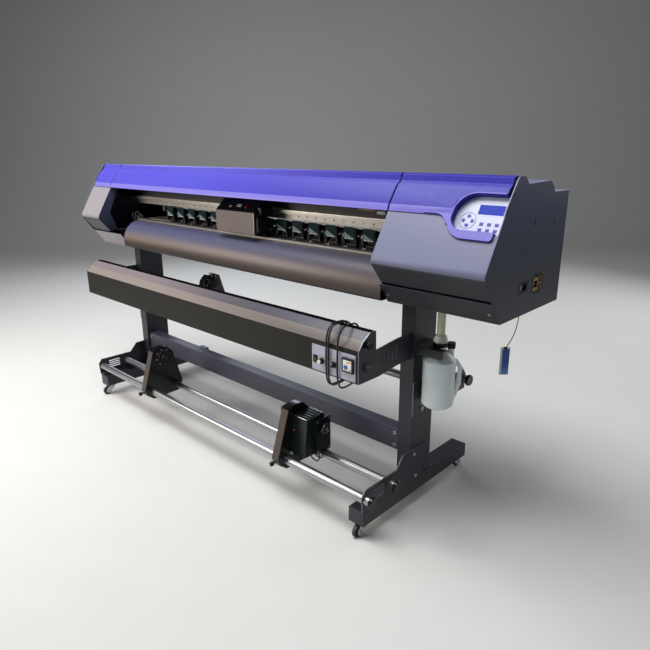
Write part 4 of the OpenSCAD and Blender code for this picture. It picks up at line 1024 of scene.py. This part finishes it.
def dryer():
    # Faces that slope up take the brown and violet painted sheen, and the flat top takes the painted shade.
    def trough_sheen_and_shade_faces(at, normal):
        if normal.z > 0.75:
            return 2 if normal.z > 0.95 else 3
        return normal.z > 0.3 and normal.y < -0.3

    dressed("dryer_housing", [dryer_coat, dryer_sheen, dryer_top_shade, dryer_slope_sheen], 1.5, by_face=trough_sheen_and_shade_faces)
    dressed("dryer_heater", rod_sheath, 0.5)
    dressed("dryer_panel", metal_film, 0.3)
    dressed("dryer_switch", gloss_abs, 0.6)
    dressed("temperature_controller", matt_abs, 0.8)
    # The arms' front edges take the pale steel as a painted highlight.
    dressed("dryer_arms", [dark_coat, edge_highlight], 0.6,
            by_face=lambda at, normal: abs(normal.x) < 0.5 and at.y < -160)
    low, high = box_of("dryer_panel")
    corners = [panel_spot(x, z) for x in (6, high.x - low.x - 6) for z in (6, high.z - low.z - 6)]
    screws("panel_screws", corners, -Y, 3, 2, "dryer")
    for name, spot in (("heat", HEAT_AT), ("fan", FAN_AT)):
        angles = [math.radians(-45 + 27 * k) for k in range(11)]
        dots = [panel_spot(spot[0] + SCALE_R * math.cos(a), spot[1] + SCALE_R * math.sin(a)) for a in angles]
        rounds(name + "_scale", dots, -Y, 2.4, 0.5, 0.1, orange_print, "dryer", "panel_film")
        dial(name, low.y)
    x, z = ROCKER_AT
    rims = ((-11, -8.6, -15, 15), (8.6, 11, -15, 15), (-8.6, 8.6, -15, -12), (-8.6, 8.6, 12, 15))
    sides = [(panel_spot(x + x0, z + z0, 2.4), panel_spot(x + x1, z + z1)) for x0, x1, z0, z1 in rims]
    boxes("rocker_bezel", sides, matt_abs, "dryer", 0.5)
    controller_face()
    seam = dryer_low / MM
    seams = [(x, seam.y, seam.z + 12) for x in span(seam.x + 40, low.x - 40, 8)]
    screws("dryer_screws", seams, -Y, 4, 2.5, "dryer", black_coat)


def dial(name, foot):
    """A fluted dial with a pointer line; the heat dial has a pale cap and an orange line."""
    cap_colour, line_colour = (white_abs, orange_print) if name == "heat" else (gloss_abs, white_abs)
    low, high = box_of(name + "_knob")
    face = Vector(((low.x + high.x) / 2, low.y, (low.z + high.z) / 2))
    reach = foot - face.y - 0.4
    body = name + "_dial"
    grip = [(0, 13), (2, 13), (3, 10.6), (reach - 4, 10), (reach - 2.6, 9)]
    bm = bmesh.new()
    add_turned(bm, (face.x, foot - 0.4, face.z), -Y, grip, 48, 12, 0.9)
    add_rod(bm, (face.x, foot - 1, face.z), (face.x, high.y, face.z), 3)
    piece(name + "_dial_grip", bm, matt_abs, body, replaces=(name + "_knob",))
    bm = bmesh.new()
    add_turned(bm, (face.x, face.y + 2.6, face.z), -Y, [(0, 8.4), (1.4, 8.4), (2.4, 7.6)])
    piece(name + "_dial_cap", bm, cap_colour, body)
    line = [(face + Vector((-0.9, -0.2, 1)), face + Vector((0.9, 2.6, 9)))]
    boxes(name + "_dial_pointer", line, line_colour, body, 0.2)


def controller_face():
    """Pale face of the temperature controller: a bar window, a dial ring and its knob."""
    low, high = box_of("temperature_controller")
    middle, out = (low + high) / 2, low.y
    for name, material, x0, x1, z0, z1, thick in [
            ("controller_plate", white_abs, -19.5, 19.5, -20.5, 19.5, 1.2),
            ("controller_bar", orange_print, -2, 17, 11, 16, 1.6)]:
        sides = [((middle.x + x0, out - thick, middle.z + z0), (middle.x + x1, out + 0.4, middle.z + z1))]
        boxes(name, sides, material, "dryer", 0.3)
    knob = Vector((middle.x - 6, out, middle.z - 7))
    bm = bmesh.new()
    add_ring(bm, knob - Y * 0.8, Y, 11, 1.0)
    piece("controller_ring", bm, green_print, "dryer")
    rounds("controller_knob", [knob - Y * 1.6], -Y, 7.5, 3, 0.8, blue_film, "dryer", "panel_film")
    dot = (middle.x + 14, out - 0.9, middle.z - 15)
    rounds("controller_dot", [dot], -Y, 3.4, 1.2, 0.4, matt_abs, "dryer", "black_plastic")


def lock_knobs():
    """Lobed hand knobs at both ends of the dryer, each on its screw."""
    low, high = box_of("dryer_lock_knobs")
    y, z = (low.y + high.y) / 2, (low.z + high.z) / 2
    grip = [(0, 12), (3, 15), (10, 15), (12, 14), (12.4, 8), (18, 8)]
    bm = bmesh.new()
    for tip, wall, out in ((low.x, dryer_low.x / MM, X), (high.x, dryer_high.x / MM, -X)):
        add_turned(bm, (tip, y, z), out, grip, 40, 5, 3.2)
        add_rod(bm, (tip + out.x * 17, y, z), (wall + out.x * 10, y, z), 4)
    piece("dryer_hand_knobs", bm, matt_abs, "dryer_locks", replaces=("dryer_lock_knobs",))


dryer()
lock_knobs()


# Take-up and feed: sliding plates with chucks, clamps and the drive

# Thickness of a support's plate and of the drive's flange, and the circle of a chuck's screws
PLATE, FLANGE, SCREW_CIRCLE = 40, 12, 43


def roll_units():
    # A plate's outward edge faces are painted dull brown as painted light; the drive beyond its plate takes
    # the teal lacquer.
    finishes = [gloss_abs, plate_edge_light, teal_lacquer]
    low, high = box_of("takeup_drive_support")
    plate_end = low.x + PLATE + 0.5

    def drive_faces(at, normal):
        if at.x > plate_end:
            return 2
        return normal.y < -0.5

    dressed("takeup_drive_support", finishes, 1.6, by_face=drive_faces)
    dressed("takeup_idle_support", finishes, 1.6, by_face=lambda at, normal: normal.y < -0.5)
    for place in ("feed_left", "feed_right"):
        dressed(place + "_support", finishes, 1.6, by_face=lambda at, normal: normal.y > 0.5)
    for place in ("takeup_idle", "takeup_drive", "feed_left", "feed_right"):
        dressed(place + "_chuck", matt_abs, 1.5)
        low, high = box_of(place + "_chuck")
        out = X if place in ("takeup_idle", "feed_left") else -X
        x = (low.x + PLATE + 5.4 if out.x > 0 else high.x - PLATE - 5.4) + 1.5 * out.x
        y, z = (low.y + high.y) / 2, (low.z + high.z) / 2
        ring = [(x, y + SCREW_CIRCLE * math.cos(a), z + SCREW_CIRCLE * math.sin(a))
                for a in span(0.2, 0.2 + 2 * math.pi, 9)[:-1]]
        screws(place + "_chuck_screws", ring, out, 3.8, 3, BODY_OF[place + "_chuck"], bright_zinc)


def hand_wheel(place):
    """The clamp screw with its lobed hand wheel, outside the front rod."""
    lock = place + "_lock"
    low, high = box_of(lock)
    middle = (low + high) / 2
    bm = bmesh.new()
    add_turned(bm, (middle.x, low.y, middle.z), Y, [(0, 8), (3, 11), (14, 11), (18, 7)], 40, 6, 2.4)
    add_rod(bm, (middle.x, low.y + 16, middle.z), (middle.x, high.y, middle.z), 4)
    piece(place + "_hand_wheel", bm, matt_abs, BODY_OF[lock], replaces=(lock,))


def drive_fittings():
    """Bolts, hand wheel, trim, signal lamp and cable loops of the take-up drive."""
    low, high = box_of("takeup_drive_support")
    plate, flange = low.x + PLATE, high.x - FLANGE
    wheel = Vector((flange, -230, 316))
    body = "drive_slider"
    screws("flange_bolts", [(flange, y, z) for y in (-267, -195) for z in (212, 352)], X, 5.5, 5, body)
    clamps = [(plate + 2, y, z) for y, z in ((-337, 170), (-316, 152), (-339, 202))]
    screws("drive_clamp_bolts", clamps, X, 6.5, 8, body, bright_zinc)
    bm = bmesh.new()
    add_turned(bm, wheel, X, [(0, 28), (2, 31), (11, 31), (13.4, 28), (13.6, 14)], 60, 10, 3)
    piece("drive_hand_wheel", bm, gloss_abs, body)
    bm = bmesh.new()
    for radius, thick in ((21, 1.6), (9, 2)):
        add_ring(bm, wheel + X * 13.4, X, radius, thick)
    piece("drive_boss_rings", bm, ground_steel, body)
    bm = bmesh.new()
    for y, z in ((-317, 376), (-222, 381)):
        add_rod(bm, (plate + 4, y, z), (flange - 14, y, z), 2.2)
    piece("drive_trim", bm, zinc, body)
    rounds("drive_lamp", [(low.x + 60, -335, 318)], -Y, 4, 3, 1, red_lens, body, "panel_film")
    bm = bmesh.new()
    for y, sag in ((-262, 17), (-240, 11)):
        loop = [(-6, 206), (4, 188), (-10, 180 - sag), (-40, 184 - sag), (-58, 194), (-60, 206)]
        add_tube(bm, smooth_line([(flange + dx, y, z) for dx, z in loop], 6), 3)
    piece("drive_cables", bm, cord_rubber, body)


roll_units()
for place in ("takeup_idle", "takeup_drive"):
    hand_wheel(place)
drive_fittings()


# Studio: a light grey floor that curves up into a wall, and soft lights; in metres

FLOOR_SIDE = 60


def studio():
    floor_end, bend, wall_top = 6.0, 2.5, 9.0
    line = [(-FLOOR_SIDE, 0.0)] + [(floor_end + bend * math.sin(a), bend - bend * math.cos(a))
                            for a in span(0, math.pi / 2, 13)] + [(floor_end + bend, wall_top)]
    bm = bmesh.new()
    rows = [[bm.verts.new((x, y, z)) for y, z in line] for x in (-FLOOR_SIDE, FLOOR_SIDE)]
    for a, b, c, d in zip(rows[0], rows[0][1:], rows[1][1:], rows[1]):
        bm.faces.new((a, d, c, b))
    bmesh.ops.transform(bm, matrix=Matrix.Rotation(CAMERA_TURN, 4, "Z"), verts=bm.verts)
    mesh = bpy.data.meshes.new("studio_floor")
    bm.to_mesh(mesh)
    bm.free()
    mesh.shade_smooth()
    mesh.materials.append(finish("matt_studio_paper", "#c2c3c1", "#c7c8c6", 0.8, 40, 0.02))
    linked("studio_floor", mesh)


def soft_light(name, at, aim, size, power, colour="#ffffff"):
    data = bpy.data.lights.new(name, "AREA")
    data.shape, data.size, data.size_y = "RECTANGLE", size[0], size[1]
    data.energy, data.color = power, linear(colour)[:3]
    made = linked(name, data)
    made.location = at
    made.rotation_euler = (Vector(aim) - Vector(at)).to_track_quat("-Z", "Y").to_euler()


def lights():
    soft_light("ceiling_light", (-0.3, -1.3, 4.6), (0, -0.1, 1.0), (4.5, 2.2), 290)
    soft_light("front_light", (-2.3, -2.6, 1.9), (-1.0, -0.1, 1.1), (1.4, 1.2), 75, "#fff2e6")
    soft_light("window_light", (-4.0, 2.4, 2.6), (-0.6, 0, 1.0), (2.6, 1.8), 60, "#eaf1ff")
    soft_light("back_light", (1.4, 4.6, 2.4), (0, 0.2, 0.8), (3.0, 2.0), 70)
    world = bpy.data.worlds.new("studio_air")
    bpy.context.scene.world = world
    world.use_nodes = True
    world.node_tree.nodes["Background"].inputs["Color"].default_value = linear("#dfe4ee")
    world.node_tree.nodes["Background"].inputs["Strength"].default_value = 0.12
    bpy.context.scene.view_settings.view_transform = "Standard"


studio()
lights()
